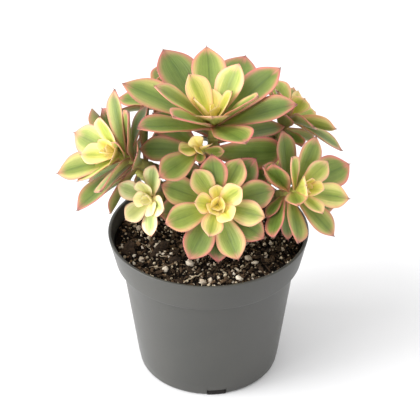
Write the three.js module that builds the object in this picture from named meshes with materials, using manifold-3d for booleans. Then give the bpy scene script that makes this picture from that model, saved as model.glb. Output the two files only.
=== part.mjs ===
// Potted aeonium: a branching, variegated rosette succulent in a 12 cm round nursery pot.
// Millimetres, +Z up. The origin is the centre of the pot's foot, on the surface it stands on.
// -Y is the front of the plant, +X its right.
import * as THREE from 'three';
import { mergeVertices } from 'three/addons/utils/BufferGeometryUtils.js';
import Module from 'manifold-3d';

const wasm = await Module();
wasm.setup();

// Pot
const POT_HEIGHT = 94;
const RIM_RADIUS = 60;
const SKIRT_HEIGHT = 18.6;
const SKIRT_FOOT_RADIUS = 55.9;
const BODY_TOP_RADIUS = 52.4;
const FOOT_RADIUS = 43;
const FOOT_ROUNDING = 3;
const WALL = 1.5;
const LIP_WIDTH = 1.9;
const FLOOR_HEIGHT = 3.8;
const FLOOR_THICKNESS = 1.6;
const FOOT_RING_WIDTH = 5.5;
const PAD_RADIUS = 10;
const NOTCHES = 3;
const NOTCH_WIDTH = 12;
const NOTCH_ANGLE = -83.4;
const DRAIN_HOLES = 6;
const DRAIN_RADIUS = 3.5;
const DRAIN_CIRCLE = 24;
const POT_SIDES = 36;

// Soil
const SOIL_LEVEL = 85.5;
const SOIL_SIDES = 36;
const SOIL_RINGS = [14, 25, 36, 46];
const CLEARANCE = 0.3;

// Stems
const TRUNK_RADIUS = 7.5;
const TRUNK_FOOT = 52;
const TRUNK_SIDES = 10;
const BRANCH_SIDES = 6;
const BRANCH_STEPS = 5;
const BRANCH_LEAD = 5;
const BRANCH_RADIUS = 3.6;
const STALK_RADIUS = 3.4;
const STALK_SIDES = 6;

// Leaves
const GOLDEN_ANGLE = 137.50776;
const RIPENING_POWER = 2.5;
const LEAF_STATIONS = [0, 0.24, 0.48, 0.7, 0.88];
const BUD_STATIONS = [0, 0.4, 0.76];
const BUD_LEAF_LENGTH = 15;
const BUD_EXTRA_WIDTH = 0.6;
const BUD_LEAVES = 7.5;
const LEAF_THICKNESS = 2.3;
const LEAF_CUP = 0.34;
const INNER_BEND = 0.1;
const OUTER_BEND = -0.08;
const LEAF_GAP = 1.7;
const OWN_BRANCH_GAP = 0.5;
const TURN_SCATTER = 5;
const RISE_SCATTER = 6;
const LENGTH_SCATTER = 0.06;
const ROLL_SCATTER = 12;

const LEAF_COLOURS = {
  bud: 0xe9dd82,
  young: 0xb9c25f,
  ripe: 0x8aa566,
};

// Every rosette: crown is where its leaves meet; facing is the azimuth and elevation of its axis;
// start is the turn of leaf 0; hand is the way its spiral winds; reach is its longest leaf; young is
// a bud leaf's share of that; ripe is the leaf at which leaves come of age; steep and flat are the
// rise of the innermost and outermost leaves; drop is how far down the stalk the oldest leaf sits;
// width is a grown leaf's half-width as a share of its length.
// bends are leaves that grew aside: leaf number to [turn, rise, length share, roll]. old leaves still
// hang lower on the stalk: [distance down it, turn, rise, length share, roll]. A roll may be left out.
const ROSETTES = [
  { name: 'rosette_front', crown: [5, -18.5, 122.5], facing: [-90, 32.5], start: 56, hand: -1,
    leaves: 24, reach: 35, young: 0.29, ripe: 9, steep: 66, flat: 16, drop: 6, stalk: 14, width: 0.245,
    bends: { 5: [-2, -27, 0.89, -7], 6: [5, -4, 1.09, -7], 9: [0, 8, 0.94], 12: [-8, -2, 1.04],
      13: [-6, 2, 0.96], 15: [8, -2, 1.04], 17: [4, 0, 1.04], 18: [-6, 2, 0.94] },
    old: [[18, 35, -2, 1.1, -52]] },
  { name: 'rosette_top', crown: [2.7, 5, 162.5], facing: [-90, 82], start: 31, hand: 1,
    leaves: 20, reach: 54, young: 0.25, ripe: 9, steep: 76, flat: 24, drop: 5, stalk: 18, width: 0.205,
    bends: { 3: [4, -27, 1.28, -16], 4: [-25, -10, 1.3, 6], 5: [6, -2, 1.12], 6: [0, -10, 1.28],
      7: [-5, -11, 1.2, 5], 8: [0, 0, 1.08], 9: [-8, 0, 1.12], 10: [0, 10, 1], 11: [-10, 4, 1.04],
      12: [-6, 14, 1], 13: [12, 8, 1.03, 10], 14: [6, -4, 1.14], 15: [-2, 4, 1], 16: [-3, -10, 1.15, 9],
      17: [0, 4, 0.98], 18: [4, 8, 1], 19: [-2, 4, 1.12, -10] },
    old: [[8, 75, 8, 0.9], [10, 140, 3, 0.85], [14, 14, 10, 0.8]] },
  { name: 'rosette_right', crown: [51.5, -14, 129.5], facing: [-36, 33], start: 37, hand: -1,
    leaves: 20, reach: 37, young: 0.23, ripe: 9, steep: 76, flat: 28, drop: 11, stalk: 16, width: 0.235,
    bends: { 6: [6, 14, 1.05], 8: [8, -6, 1.1], 9: [14, 0, 0.89, 7], 10: [6, -6, 0.96],
      11: [-6, 0, 1.04], 12: [-1, 8, 0.77, 70], 14: [-2, -1, 1.01], 15: [-8, -13, 0.85, 5],
      16: [-2, -4, 1.22, -17], 18: [0, -6, 1.04], 19: [12, -6, 0.86] },
    old: [[8, 129, 27, 0.85, -90], [10, 193, -9, 0.54, 70], [13, 249, -31, 0.8], [10, 204, 5, 0.87, 90]] },
  { name: 'rosette_left', crown: [-52, -7, 149.5], facing: [-163, 33], start: -24, hand: -1,
    leaves: 21, reach: 42, young: 0.2, ripe: 7.5, steep: 75, flat: 38, drop: 20, stalk: 22, width: 0.25,
    bends: { 5: [0, -32, 0.9], 6: [4, -8, 1], 7: [6, 0, 1, 12], 8: [-38, -10, 0.92, 10],
      9: [16, 0, 0.94], 10: [3, 4, 0.5, 58], 11: [-12, 5, 1.07], 12: [-6, -3, 0.97], 13: [-6, 0, 1],
      14: [-38, -6, 0.98, -87], 15: [-4, 4, 1], 16: [-8, -3, 1.06], 17: [6, 0, 0.96],
      18: [10, -1, 0.8, 13], 19: [-4, -10, 0.86], 20: [39, -30, 1, -46] },
    old: [[15, 273, 4, 0.83, 38], [8, 109, 9, 0.79, 1]] },
  { name: 'rosette_small_left', crown: [-32.5, -16, 125], facing: [-127, 20], start: 0, hand: 1,
    leaves: 12, reach: 25, young: 0.31, ripe: 6.8, steep: 66, flat: 22, drop: 2, stalk: 10, width: 0.25,
    bends: { 4: [0, 0, 1.06], 5: [0, -10, 1], 8: [-16, 4, 1], 9: [6, 0, 0.96], 10: [0, 0, 0.96],
      11: [8, 4, 1] } },
  { name: 'rosette_under_top', crown: [-4.5, -6, 152], facing: [-100, 45], start: 350, hand: 1,
    leaves: 15, reach: 40, young: 0.35, ripe: 6, steep: 60, flat: 4, drop: 3, stalk: 6, width: 0.21,
    bends: { 2: [-3, 8, 0.65, -26], 3: [-40, 7, 0.66, -64], 4: [25, -1, 0.76, 15],
      5: [44, -33, 0.52, 49], 7: [-2, 10, 0.95, -5], 8: [-8, -6, 1.24], 10: [0, 10, 0.4],
      12: [-16, 0, 0.88], 13: [2, 4, 0.92] },
    old: [[3, 7, -15, 1.25, 35]] },
  { name: 'rosette_back_right', crown: [49, 33, 152], facing: [25, 50], start: 40, hand: 1,
    leaves: 16, reach: 34, young: 0.25, ripe: 7.5, steep: 74, flat: 20, drop: 6, stalk: 15, width: 0.23,
    bends: { 4: [15, 0, 1, 24], 7: [2, -14, 0.89, 26], 8: [-29, -5, 0.93, -72], 9: [20, -3, 1.02, -28],
      10: [18, 19, 0.69], 12: [-18, -13, 1.1, 13], 15: [-1, -4, 0.88, 54] },
    old: [[8, 90, -34, 1.1], [12, 132, -6, 1], [12, 330, -24, 1.1], [9, 178, 5, 0.72, 28],
      [9, 255, 15, 0.66, -50]] },
  { name: 'rosette_back_left', crown: [-28, 45, 154], facing: [130, 52], start: 110, hand: -1,
    leaves: 16, reach: 34, young: 0.25, ripe: 7.5, steep: 74, flat: 20, drop: 6, stalk: 15, width: 0.23,
    bends: { 7: [-29, 21, 1.08, -73], 9: [0, 1, 0.98, -38] },
    old: [[7, 50, -38, 1.1], [10.5, 42, -14, 1.1], [10.5, 252, -13, 1.1]] },
  { name: 'rosette_back', crown: [4, 52, 132], facing: [88, 38], start: 200, hand: 1, leaves: 19,
    reach: 38, young: 0.25, ripe: 8.5, steep: 72, flat: 18, drop: 6, stalk: 14, width: 0.23,
    bends: {},
    old: [[8, 49, -17, 0.75]] },
  { name: 'rosette_low_right', crown: [41, 31, 113], facing: [36, 30], start: 300, hand: -1, leaves: 12,
    reach: 24, young: 0.3, ripe: 6, steep: 66, flat: 20, drop: 3, stalk: 10, width: 0.24,
    bends: {} },
  { name: 'rosette_low_left', crown: [-43, 25, 119], facing: [158, 30], start: 150, hand: 1, leaves: 12,
    reach: 26, young: 0.3, ripe: 6, steep: 66, flat: 20, drop: 3, stalk: 10, width: 0.24,
    bends: { 11: [10, -25, 0.81, -6] } },
];

// The trunk's course, and for each rosette the points that its branch passes on the way up.
const TRUNK = [[0, 12, TRUNK_FOOT], [0, 12, 92], [1, 13, 108]];
const FORK = [0.5, 12.5, 102];
const BRANCH_COURSES = {
  rosette_front: [[0.5, 12, 100], [4, 2, 109]],
  rosette_top: [FORK, [1.5, 13, 125]],
  rosette_right: [FORK, [22, 5, 112]],
  rosette_left: [FORK, [-18, 8, 124]],
  rosette_small_left: [[0, 12, 99], [-14, 4, 109]],
  rosette_back_right: [FORK, [22, 22, 124]],
  rosette_back_left: [FORK, [-14, 27, 126]],
  rosette_back: [[0.5, 13, 100], [3, 28, 111]],
  rosette_under_top: [[1.5, 12, 112], [-1.5, 6, 132]],
  rosette_low_right: [[0.5, 13, 97], [18, 22, 101]],
  rosette_low_left: [[0.5, 13, 97], [-18, 20, 105]],
};

const radians = THREE.MathUtils.degToRad;
const vector = (values) => new THREE.Vector3(...values);

// A repeatable draw from -0.5 to 0.5 for one leaf and one purpose.
function scatter(seed, leaf, purpose) {
  const wave = Math.sin(seed * 12.9898 + leaf * 78.233 + purpose * 37.719) * 43758.5453;
  return wave - Math.floor(wave) - 0.5;
}

// Solids: a three.js geometry becomes a manifold solid for joining and cutting, and goes back.
function toSolid(geometry) {
  const bare = geometry.clone();
  bare.deleteAttribute('normal');
  bare.deleteAttribute('uv');
  const merged = mergeVertices(bare, 1e-4);
  return new wasm.Manifold(new wasm.Mesh({
    numProp: 3,
    vertProperties: new Float32Array(merged.attributes.position.array),
    triVerts: new Uint32Array(merged.index.array),
  }));
}

function toGeometry(solid) {
  const mesh = solid.getMesh();
  const geometry = new THREE.BufferGeometry();
  geometry.setAttribute('position', new THREE.BufferAttribute(mesh.vertProperties, 3));
  geometry.setIndex(new THREE.BufferAttribute(mesh.triVerts, 1));
  return geometry;
}

function largestPiece(solid) {
  const pieces = solid.decompose();
  return pieces.reduce((best, piece) => (piece.volume() > best.volume() ? piece : best));
}

// A lathe about Z from (radius, height) pairs, going up the outside.
function lathe(profile, sides) {
  const points = profile.map(([radius, height]) => new THREE.Vector2(radius, height));
  return new THREE.LatheGeometry(points, sides).rotateX(Math.PI / 2);
}

// A tube through rings of points: each ring is a list of vectors, counted the same way round.
function loft(rings) {
  const sides = rings[0].length;
  const positions = rings.flat().flatMap((point) => point.toArray());
  const faces = [];
  for (let ring = 0; ring < rings.length - 1; ring += 1) {
    for (let side = 0; side < sides; side += 1) {
      const next = (side + 1) % sides;
      const [a, b] = [ring * sides + side, ring * sides + next];
      faces.push(a, b, b + sides, a, b + sides, a + sides);
    }
  }
  const last = (rings.length - 1) * sides;
  for (let side = 1; side < sides - 1; side += 1) {
    faces.push(0, side + 1, side);
    faces.push(last, last + side, last + side + 1);
  }
  const geometry = new THREE.BufferGeometry();
  geometry.setAttribute('position', new THREE.Float32BufferAttribute(positions, 3));
  geometry.setIndex(faces);
  return geometry;
}

// A round stem along a smooth curve, its radius changing from foot to top.
function stem(points, footRadius, topRadius, sides, steps) {
  const curve = new THREE.CatmullRomCurve3(points, false, 'centripetal');
  const frames = curve.computeFrenetFrames(steps, false);
  const rings = [];
  for (let step = 0; step <= steps; step += 1) {
    const share = step / steps;
    const centre = curve.getPointAt(share);
    const radius = THREE.MathUtils.lerp(footRadius, topRadius, share);
    const ring = [];
    for (let side = 0; side < sides; side += 1) {
      const angle = (2 * Math.PI * side) / sides;
      ring.push(centre.clone()
        .addScaledVector(frames.normals[step], radius * Math.cos(angle))
        .addScaledVector(frames.binormals[step], radius * Math.sin(angle)));
    }
    rings.push(ring);
  }
  return loft(rings);
}

// Pot: a thin tapered wall with a flared skirt, a foot ring cut by drain notches, and a centre pad.
function potWallRadius(height) {
  const skirtFoot = POT_HEIGHT - SKIRT_HEIGHT;
  if (height >= skirtFoot) {
    const share = (height - skirtFoot) / SKIRT_HEIGHT;
    return THREE.MathUtils.lerp(SKIRT_FOOT_RADIUS, RIM_RADIUS, share);
  }
  return THREE.MathUtils.lerp(FOOT_RADIUS, BODY_TOP_RADIUS, height / skirtFoot);
}

function buildPot() {
  const skirtFoot = POT_HEIGHT - SKIRT_HEIGHT;
  const floorTop = FLOOR_HEIGHT + FLOOR_THICKNESS;
  const ringInner = FOOT_RADIUS - FOOT_RING_WIDTH;
  const outside = [
    [0, 0], [PAD_RADIUS, 0], [PAD_RADIUS + 1.5, FLOOR_HEIGHT], [ringInner - 1, FLOOR_HEIGHT],
    [ringInner, 0], [FOOT_RADIUS - FOOT_ROUNDING + 0.6, 0], [FOOT_RADIUS - 0.6, 1],
    [potWallRadius(FOOT_ROUNDING), FOOT_ROUNDING], [BODY_TOP_RADIUS, skirtFoot - 0.6],
    [SKIRT_FOOT_RADIUS - 0.5, skirtFoot - 0.6], [SKIRT_FOOT_RADIUS, skirtFoot],
    [RIM_RADIUS, POT_HEIGHT - 0.8], [RIM_RADIUS - 0.6, POT_HEIGHT],
  ];
  const inside = [
    [RIM_RADIUS - LIP_WIDTH, POT_HEIGHT], [potWallRadius(skirtFoot + 2) - WALL, skirtFoot + 2],
    [BODY_TOP_RADIUS - WALL, skirtFoot - 1], [potWallRadius(floorTop) - WALL, floorTop], [0, floorTop],
  ];
  let pot = toSolid(lathe([...outside, ...inside], POT_SIDES));
  for (let notch = 0; notch < NOTCHES; notch += 1) {
    const angle = radians(NOTCH_ANGLE + (360 * notch) / NOTCHES);
    const length = FOOT_RADIUS - ringInner + 8;
    const cutter = new THREE.BoxGeometry(length, NOTCH_WIDTH, 2 * FLOOR_HEIGHT)
      .translate(ringInner - 4 + length / 2, 0, 0).rotateZ(angle);
    pot = pot.subtract(toSolid(cutter));
  }
  for (let hole = 0; hole < DRAIN_HOLES; hole += 1) {
    const angle = radians(NOTCH_ANGLE + (360 * (hole + 0.5)) / DRAIN_HOLES);
    const cutter = new THREE.CylinderGeometry(DRAIN_RADIUS, DRAIN_RADIUS, 20, 10)
      .rotateX(Math.PI / 2).translate(DRAIN_CIRCLE * Math.cos(angle), DRAIN_CIRCLE * Math.sin(angle), 0);
    pot = pot.subtract(toSolid(cutter));
  }
  return toGeometry(pot);
}

// Soil: fills the pot to just under the rim, with a lumpy top and a plain hole for the trunk.
function soilHeight(x, y) {
  const swell = 0.9 * Math.sin(x / 8.3 + 0.7) * Math.cos(y / 7.1 - 0.4);
  const lumps = 0.5 * Math.sin(x / 3.1 + y / 4.7 + 1.9) * Math.sin(y / 3.7 - x / 6.1);
  return SOIL_LEVEL + swell + lumps;
}

function buildSoil() {
  const skirtFoot = POT_HEIGHT - SKIRT_HEIGHT;
  const floorTop = FLOOR_HEIGHT + FLOOR_THICKNESS + CLEARANCE;
  const edge = potWallRadius(SOIL_LEVEL) - LIP_WIDTH - CLEARANCE;
  const levels = [
    [potWallRadius(floorTop) - WALL - 2 * CLEARANCE, floorTop],
    [BODY_TOP_RADIUS - WALL - 2 * CLEARANCE, skirtFoot - 1.6],
    [potWallRadius(skirtFoot + 2) - LIP_WIDTH - CLEARANCE, skirtFoot + 2.6],
    [edge, SOIL_LEVEL],
  ];
  const circle = (radius, height) => {
    const ring = [];
    for (let side = 0; side < SOIL_SIDES; side += 1) {
      const angle = (2 * Math.PI * side) / SOIL_SIDES;
      const [x, y] = [radius * Math.cos(angle), radius * Math.sin(angle)];
      ring.push(new THREE.Vector3(x, y, height ?? soilHeight(x, y)));
    }
    return ring;
  };
  const rings = levels.map(([radius, height]) => circle(radius, height));
  for (const radius of [...SOIL_RINGS].reverse()) {
    rings.push(circle(radius));
  }
  rings.push(circle(1.5));
  const hole = new THREE.CylinderGeometry(
    TRUNK_RADIUS + 2 * CLEARANCE, TRUNK_RADIUS + 2 * CLEARANCE, 60, TRUNK_SIDES * 2,
  ).rotateX(Math.PI / 2).translate(TRUNK[0][0], TRUNK[0][1], TRUNK_FOOT - CLEARANCE + 30);
  return toGeometry(toSolid(loft(rings)).subtract(toSolid(hole)));
}

// The frame of a rosette: its axis, and two directions across it.
function rosetteFrame(rosette) {
  const [azimuth, elevation] = rosette.facing.map(radians);
  const axis = new THREE.Vector3(
    Math.cos(elevation) * Math.cos(azimuth),
    Math.cos(elevation) * Math.sin(azimuth),
    Math.sin(elevation),
  );
  const across = new THREE.Vector3(-Math.sin(azimuth), Math.cos(azimuth), 0);
  return { axis, across, up: axis.clone().cross(across) };
}

// Half-width of a leaf along its length, as a share of its greatest: narrow at the base, widest at
// two thirds, and drawn in to the point.
const outline = (s) => 0.2 * (1 - s) ** 3 + 1.976 * s ** 1.15 * (1 - s ** 4);

// Where the spiral sets a leaf: distance down the stalk, turn, rise, share of the reach and roll.
function spiralLie(rosette, seed, number, age) {
  const [turned, raised, grown, rolled] = rosette.bends[number] ?? [0, 0, 1];
  return [
    rosette.drop * (number / 20) ** 2,
    rosette.start + rosette.hand * GOLDEN_ANGLE * number + TURN_SCATTER * scatter(seed, number, 1) + turned,
    THREE.MathUtils.lerp(rosette.steep, rosette.flat, age) + RISE_SCATTER * scatter(seed, number, 2) + raised,
    THREE.MathUtils.lerp(rosette.young, 1, age) * (1 + LENGTH_SCATTER * scatter(seed, number, 3)) * grown,
    rolled,
  ];
}

// One leaf: where it springs from, the directions along, across and through it, and its sizes.
function leafAt(rosette, seed, number, swing = [0, 0, 1]) {
  const { axis, across, up } = rosetteFrame(rosette);
  const age = 1 - Math.exp(-((number / rosette.ripe) ** RIPENING_POWER));
  const [down, ...lie] = number < rosette.leaves
    ? spiralLie(rosette, seed, number, age) : rosette.old[number - rosette.leaves];
  const turn = radians(lie[0] + swing[0]);
  const rise = radians(lie[1] + swing[1]);
  const length = rosette.reach * lie[2] * swing[2];
  const roll = radians(ROLL_SCATTER * scatter(seed, number, 4) + (lie[3] ?? 0));
  const outward = across.clone().multiplyScalar(Math.cos(turn)).addScaledVector(up, Math.sin(turn));
  const along = outward.clone().multiplyScalar(Math.cos(rise)).addScaledVector(axis, Math.sin(rise));
  const level = outward.multiplyScalar(-Math.sin(rise)).addScaledVector(axis, Math.cos(rise));
  const side = level.clone().cross(along);
  return {
    base: vector(rosette.crown).addScaledVector(axis, -down),
    along,
    side: side.clone().multiplyScalar(Math.cos(roll)).addScaledVector(level, Math.sin(roll)),
    normal: level.clone().multiplyScalar(Math.cos(roll)).addScaledVector(side, -Math.sin(roll)),
    length,
    halfWidth: length * rosette.width * (1 + BUD_EXTRA_WIDTH * Math.exp(-((number / BUD_LEAVES) ** 3))),
    thickness: Math.min(LEAF_THICKNESS, 0.7 + 0.04 * length),
    bend: THREE.MathUtils.lerp(INNER_BEND, OUTER_BEND, age),
  };
}

// How high a leaf's middle surface lies above its chord plane, s along it and u across it.
function leafLift(leaf, s, u) {
  const dish = LEAF_CUP * leaf.halfWidth * outline(s) * Math.abs(u) ** 1.7 * (1 - 0.5 * s);
  return leaf.bend * leaf.length * s ** 2 + dish;
}

function leafPoint(leaf, s, u, above = 0) {
  return leaf.base.clone()
    .addScaledVector(leaf.along, leaf.length * s)
    .addScaledVector(leaf.side, leaf.halfWidth * outline(s) * u)
    .addScaledVector(leaf.normal, leafLift(leaf, s, u) + above);
}

// A leaf's solid: four-cornered rings, thick at the midrib and thin at both margins, and a point.
function leafSolid(leaf) {
  const stations = leaf.length < BUD_LEAF_LENGTH ? BUD_STATIONS : LEAF_STATIONS;
  const rings = stations.map((s) => {
    const half = 0.5 * leaf.thickness * (1 - 0.45 * s);
    return [leafPoint(leaf, s, -1), leafPoint(leaf, s, 0, -half), leafPoint(leaf, s, 1),
      leafPoint(leaf, s, 0, half)];
  });
  const positions = [...rings.flat(), leafPoint(leaf, 1, 0)].flatMap((point) => point.toArray());
  const faces = [0, 3, 2, 0, 2, 1];
  for (let ring = 0; ring < rings.length - 1; ring += 1) {
    for (let corner = 0; corner < 4; corner += 1) {
      const [a, b] = [ring * 4 + corner, ring * 4 + ((corner + 1) % 4)];
      if (corner % 2 === 0) {
        faces.push(a, b, a + 4, b, b + 4, a + 4);
      } else {
        faces.push(a, b, b + 4, a, b + 4, a + 4);
      }
    }
  }
  const last = (rings.length - 1) * 4;
  for (let corner = 0; corner < 4; corner += 1) {
    faces.push(last + corner, last + ((corner + 1) % 4), last + 4);
  }
  return new wasm.Manifold(new wasm.Mesh({
    numProp: 3,
    vertProperties: new Float32Array(positions),
    triVerts: new Uint32Array(faces),
  }));
}

// The lie of a point over a leaf: its height above the blade, or null where it is past the outline.
function heightOver(leaf, point) {
  const offset = point.clone().sub(leaf.base);
  const s = offset.dot(leaf.along) / leaf.length;
  if (s < 0.02 || s > 1.03) {
    return null;
  }
  const u = offset.dot(leaf.side) / Math.max(leaf.halfWidth * outline(Math.min(s, 1)), 0.8);
  if (Math.abs(u) > 1.1) {
    return null;
  }
  return offset.dot(leaf.normal) - leafLift(leaf, Math.min(s, 1), u);
}

const PROBE_STEPS = [0.15, 0.25, 0.35, 0.45, 0.55, 0.64, 0.73, 0.82, 0.91, 1];
const PROBE_SIDES = [-1, -0.5, 0, 0.5, 1];

function probes(leaf) {
  return PROBE_STEPS.flatMap((s) => PROBE_SIDES.map((u) => leafPoint(leaf, s, u)));
}

// Whether points that lie over a leaf come closer to it than the gap, or lie on both its sides.
function meets(points, leaf) {
  let above = false;
  let below = false;
  const gap = LEAF_GAP + 0.25 * leaf.thickness;
  for (const point of points) {
    const height = heightOver(leaf, point);
    if (height !== null) {
      if (Math.abs(height) < gap) {
        return true;
      }
      above ||= height > 0;
      below ||= height < 0;
    }
  }
  return above && below;
}

function leavesMeet(first, second) {
  const reach = first.leaf.length + second.leaf.length;
  if (first.leaf.base.distanceTo(second.leaf.base) > reach) {
    return false;
  }
  return meets(first.points, second.leaf) || meets(second.points, first.leaf);
}

// Whether any point comes nearer than the gap to a stem, which is a chain of straight stretches.
function touchesStem(points, stretches, gap) {
  const nearest = new THREE.Vector3();
  return stretches.some(({ line, radius }) => points.some((point) => {
    line.closestPointToPoint(point, true, nearest);
    return nearest.distanceTo(point) < radius + gap;
  }));
}

// Whether any point runs into the pot's rim or the soil.
function touchesPot(points) {
  return points.some(({ x, y, z }) => {
    const radius = Math.hypot(x, y);
    const inWall = z < POT_HEIGHT + 2.5 && Math.abs(radius - RIM_RADIUS + 2) < 5;
    return inWall || (radius < RIM_RADIUS && z < SOIL_LEVEL + 2.5);
  });
}

// Swings that a leaf tries, smallest first, until it hangs clear: [turn, rise, length share].
const SWINGS = [
  [0, 0, 1], [0, 7, 1], [0, -7, 1], [7, 0, 1], [-7, 0, 1], [0, 14, 1], [0, -14, 1],
  [12, 5, 1], [-12, 5, 1], [12, -8, 1], [-12, -8, 1], [0, 21, 0.95], [0, -22, 0.95],
  [18, 10, 0.95], [-18, 10, 0.95], [18, -14, 0.9], [-18, -14, 0.9], [0, 30, 0.9], [0, -32, 0.9],
  [10, 24, 0.85], [-10, 24, 0.85], [10, -26, 0.8], [-10, -26, 0.8], [0, 0, 0.75], [0, 14, 0.7],
  [0, -14, 0.7], [0, 40, 0.8], [0, -44, 0.8],
];

// The stalk of each rosette, and its branch, as chains of points.
function stalkFoot(rosette) {
  const { axis } = rosetteFrame(rosette);
  return vector(rosette.crown).addScaledVector(axis, -rosette.stalk);
}

function branchPoints(rosette) {
  const { axis } = rosetteFrame(rosette);
  const foot = stalkFoot(rosette);
  return [
    ...BRANCH_COURSES[rosette.name].map(vector),
    foot.clone().addScaledVector(axis, -BRANCH_LEAD),
    foot.clone().addScaledVector(axis, -CLEARANCE),
  ];
}

// Leaves of every rosette, each hung clear of the stems, the pot and the rosettes before it.
function growLeaves() {
  const stretches = [];
  for (const rosette of ROSETTES) {
    const course = new THREE.CatmullRomCurve3(branchPoints(rosette), false, 'centripetal').getPoints(6);
    for (let step = 0; step < course.length - 1; step += 1) {
      stretches.push({ owner: rosette, line: new THREE.Line3(course[step], course[step + 1]),
        radius: BRANCH_RADIUS + 0.8, stalk: false });
    }
    stretches.push({ owner: rosette, line: new THREE.Line3(stalkFoot(rosette), vector(rosette.crown)),
      radius: STALK_RADIUS + 0.6, stalk: true });
  }
  stretches.push({ owner: null, line: new THREE.Line3(vector(TRUNK[0]), vector(TRUNK[2])),
    radius: TRUNK_RADIUS, stalk: false });
  const grown = [];
  ROSETTES.forEach((rosette, seed) => {
    const own = [];
    const others = stretches.filter(({ owner }) => owner !== rosette);
    const branch = stretches.filter(({ owner, stalk }) => owner === rosette && !stalk);
    const count = rosette.leaves + (rosette.old?.length ?? 0);
    for (let number = 1; number < count; number += 1) {
      for (const swing of SWINGS) {
        const leaf = leafAt(rosette, seed + 1, number, swing);
        const trial = { leaf, points: probes(leaf), number, rosette: rosette.name };
        const clear = !touchesPot(trial.points) && !touchesStem(trial.points, others, LEAF_GAP)
          && !touchesStem(trial.points, branch, OWN_BRANCH_GAP)
          && !grown.some((other) => leavesMeet(trial, other));
        if (clear) {
          own.push({ ...trial, swing });
          break;
        }
      }
    }
    grown.push(...own);
  });
  return grown;
}

// Stems: the trunk stands in the soil and forks into a branch for every rosette.
function buildStems() {
  const pieces = [toSolid(stem(TRUNK.map(vector), TRUNK_RADIUS, 6.4, TRUNK_SIDES, 4))];
  for (const rosette of ROSETTES) {
    pieces.push(toSolid(stem(branchPoints(rosette), 4.6, STALK_RADIUS, BRANCH_SIDES, BRANCH_STEPS)));
  }
  return toGeometry(largestPiece(wasm.Manifold.union(pieces)).simplify(0.01));
}

// A rosette: a fleshy stalk with its leaves fused to it.
function buildRosette(rosette, leaves) {
  const { axis } = rosetteFrame(rosette);
  const foot = stalkFoot(rosette);
  const top = vector(rosette.crown).addScaledVector(axis, 0.06 * rosette.reach);
  const stalk = toSolid(stem([foot, vector(rosette.crown), top], STALK_RADIUS, 2.4, STALK_SIDES, 3));
  const blades = leaves.map(({ leaf }) => leafSolid(leaf));
  return toGeometry(largestPiece(wasm.Manifold.union([stalk, ...blades])).simplify(0.01));
}

function addMesh(group, name, geometry, material) {
  geometry.computeVertexNormals();
  const mesh = new THREE.Mesh(geometry, material);
  mesh.name = name;
  group.add(mesh);
}

const plastic = new THREE.MeshStandardMaterial({ color: 0x6b6b68, roughness: 0.55, metalness: 0 });
const peat = new THREE.MeshStandardMaterial({ color: 0x2a201a, roughness: 0.95, metalness: 0 });
const bark = new THREE.MeshStandardMaterial({ color: 0x7b6a4c, roughness: 0.85, metalness: 0 });
const leafy = new THREE.MeshStandardMaterial({ color: LEAF_COLOURS.ripe, roughness: 0.5, metalness: 0 });
const paleLeafy = new THREE.MeshStandardMaterial({ color: LEAF_COLOURS.young, roughness: 0.5, metalness: 0 });

const aeonium = new THREE.Group();
addMesh(aeonium, 'pot', buildPot(), plastic);
addMesh(aeonium, 'soil', buildSoil(), peat);
addMesh(aeonium, 'stems', buildStems(), bark);
const leaves = growLeaves();
for (const rosette of ROSETTES) {
  const own = leaves.filter((leaf) => leaf.rosette === rosette.name);
  const finish = rosette.reach < 30 ? paleLeafy : leafy;
  addMesh(aeonium, rosette.name, buildRosette(rosette, own), finish);
}

export default aeonium;
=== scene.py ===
"""Potted aeonium: a branching, variegated rosette succulent in its nursery pot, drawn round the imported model.

Every leaf, stem and grain is a surface worked out with numpy as whole arrays. Lengths are in millimetres
and become metres when a mesh is made. The origin is the centre of the pot's foot, -Y is the front of the
plant and +Z is up.
"""

import logging
import math
from dataclasses import dataclass, field
from enum import Enum
from typing import Union

import bmesh
import bpy
import numpy as np
from mathutils import Euler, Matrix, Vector
from numpy.typing import NDArray


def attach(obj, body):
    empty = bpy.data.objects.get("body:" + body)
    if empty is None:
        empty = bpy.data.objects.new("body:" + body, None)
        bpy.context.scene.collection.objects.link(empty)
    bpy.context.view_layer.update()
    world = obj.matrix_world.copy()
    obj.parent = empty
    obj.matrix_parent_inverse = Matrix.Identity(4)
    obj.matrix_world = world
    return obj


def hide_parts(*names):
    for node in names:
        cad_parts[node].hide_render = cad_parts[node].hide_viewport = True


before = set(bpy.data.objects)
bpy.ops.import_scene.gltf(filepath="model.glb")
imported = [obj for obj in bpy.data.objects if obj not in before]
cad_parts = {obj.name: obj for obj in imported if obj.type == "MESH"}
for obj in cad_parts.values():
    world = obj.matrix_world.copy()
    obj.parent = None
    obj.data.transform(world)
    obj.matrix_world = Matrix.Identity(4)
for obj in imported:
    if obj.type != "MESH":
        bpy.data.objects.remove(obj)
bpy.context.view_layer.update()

LOG = logging.getLogger("aeonium")

FloatArray = NDArray[np.float64]
IntArray = NDArray[np.int64]
Socket = bpy.types.NodeSocket
Feed = Union[Socket, float, tuple[float, ...]]
Colour = tuple[float, float, float, float]
Stops = tuple[tuple[float, Colour], ...]
Span = tuple[float, float]
Triple = tuple[float, float, float]

# Metres in a millimetre, and the body that everything rides on
MM = 0.001
BODY = "root"

# Degrees from one leaf of a spiral to the next, and the usual gap between two solids
GOLDEN_ANGLE = 137.50776
CLEARANCE = 0.3

# The scattering sine's pace by seed, by leaf and by purpose, and its gain
SCATTER_PACES = (12.9898, 78.233, 37.719)
SCATTER_GAIN = 43758.5453

# Shortest and longest wave of a swell, as shares of its middle wavelength
WAVE_SPREAD = (0.6, 1.6)

# The display curve of colours: where its straight foot ends, the foot's slope, and the offset and power above
DISPLAY_KNEE = 0.04045
DISPLAY_SLOPE = 12.92
DISPLAY_OFFSET = 0.055
DISPLAY_POWER = 2.4


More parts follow.
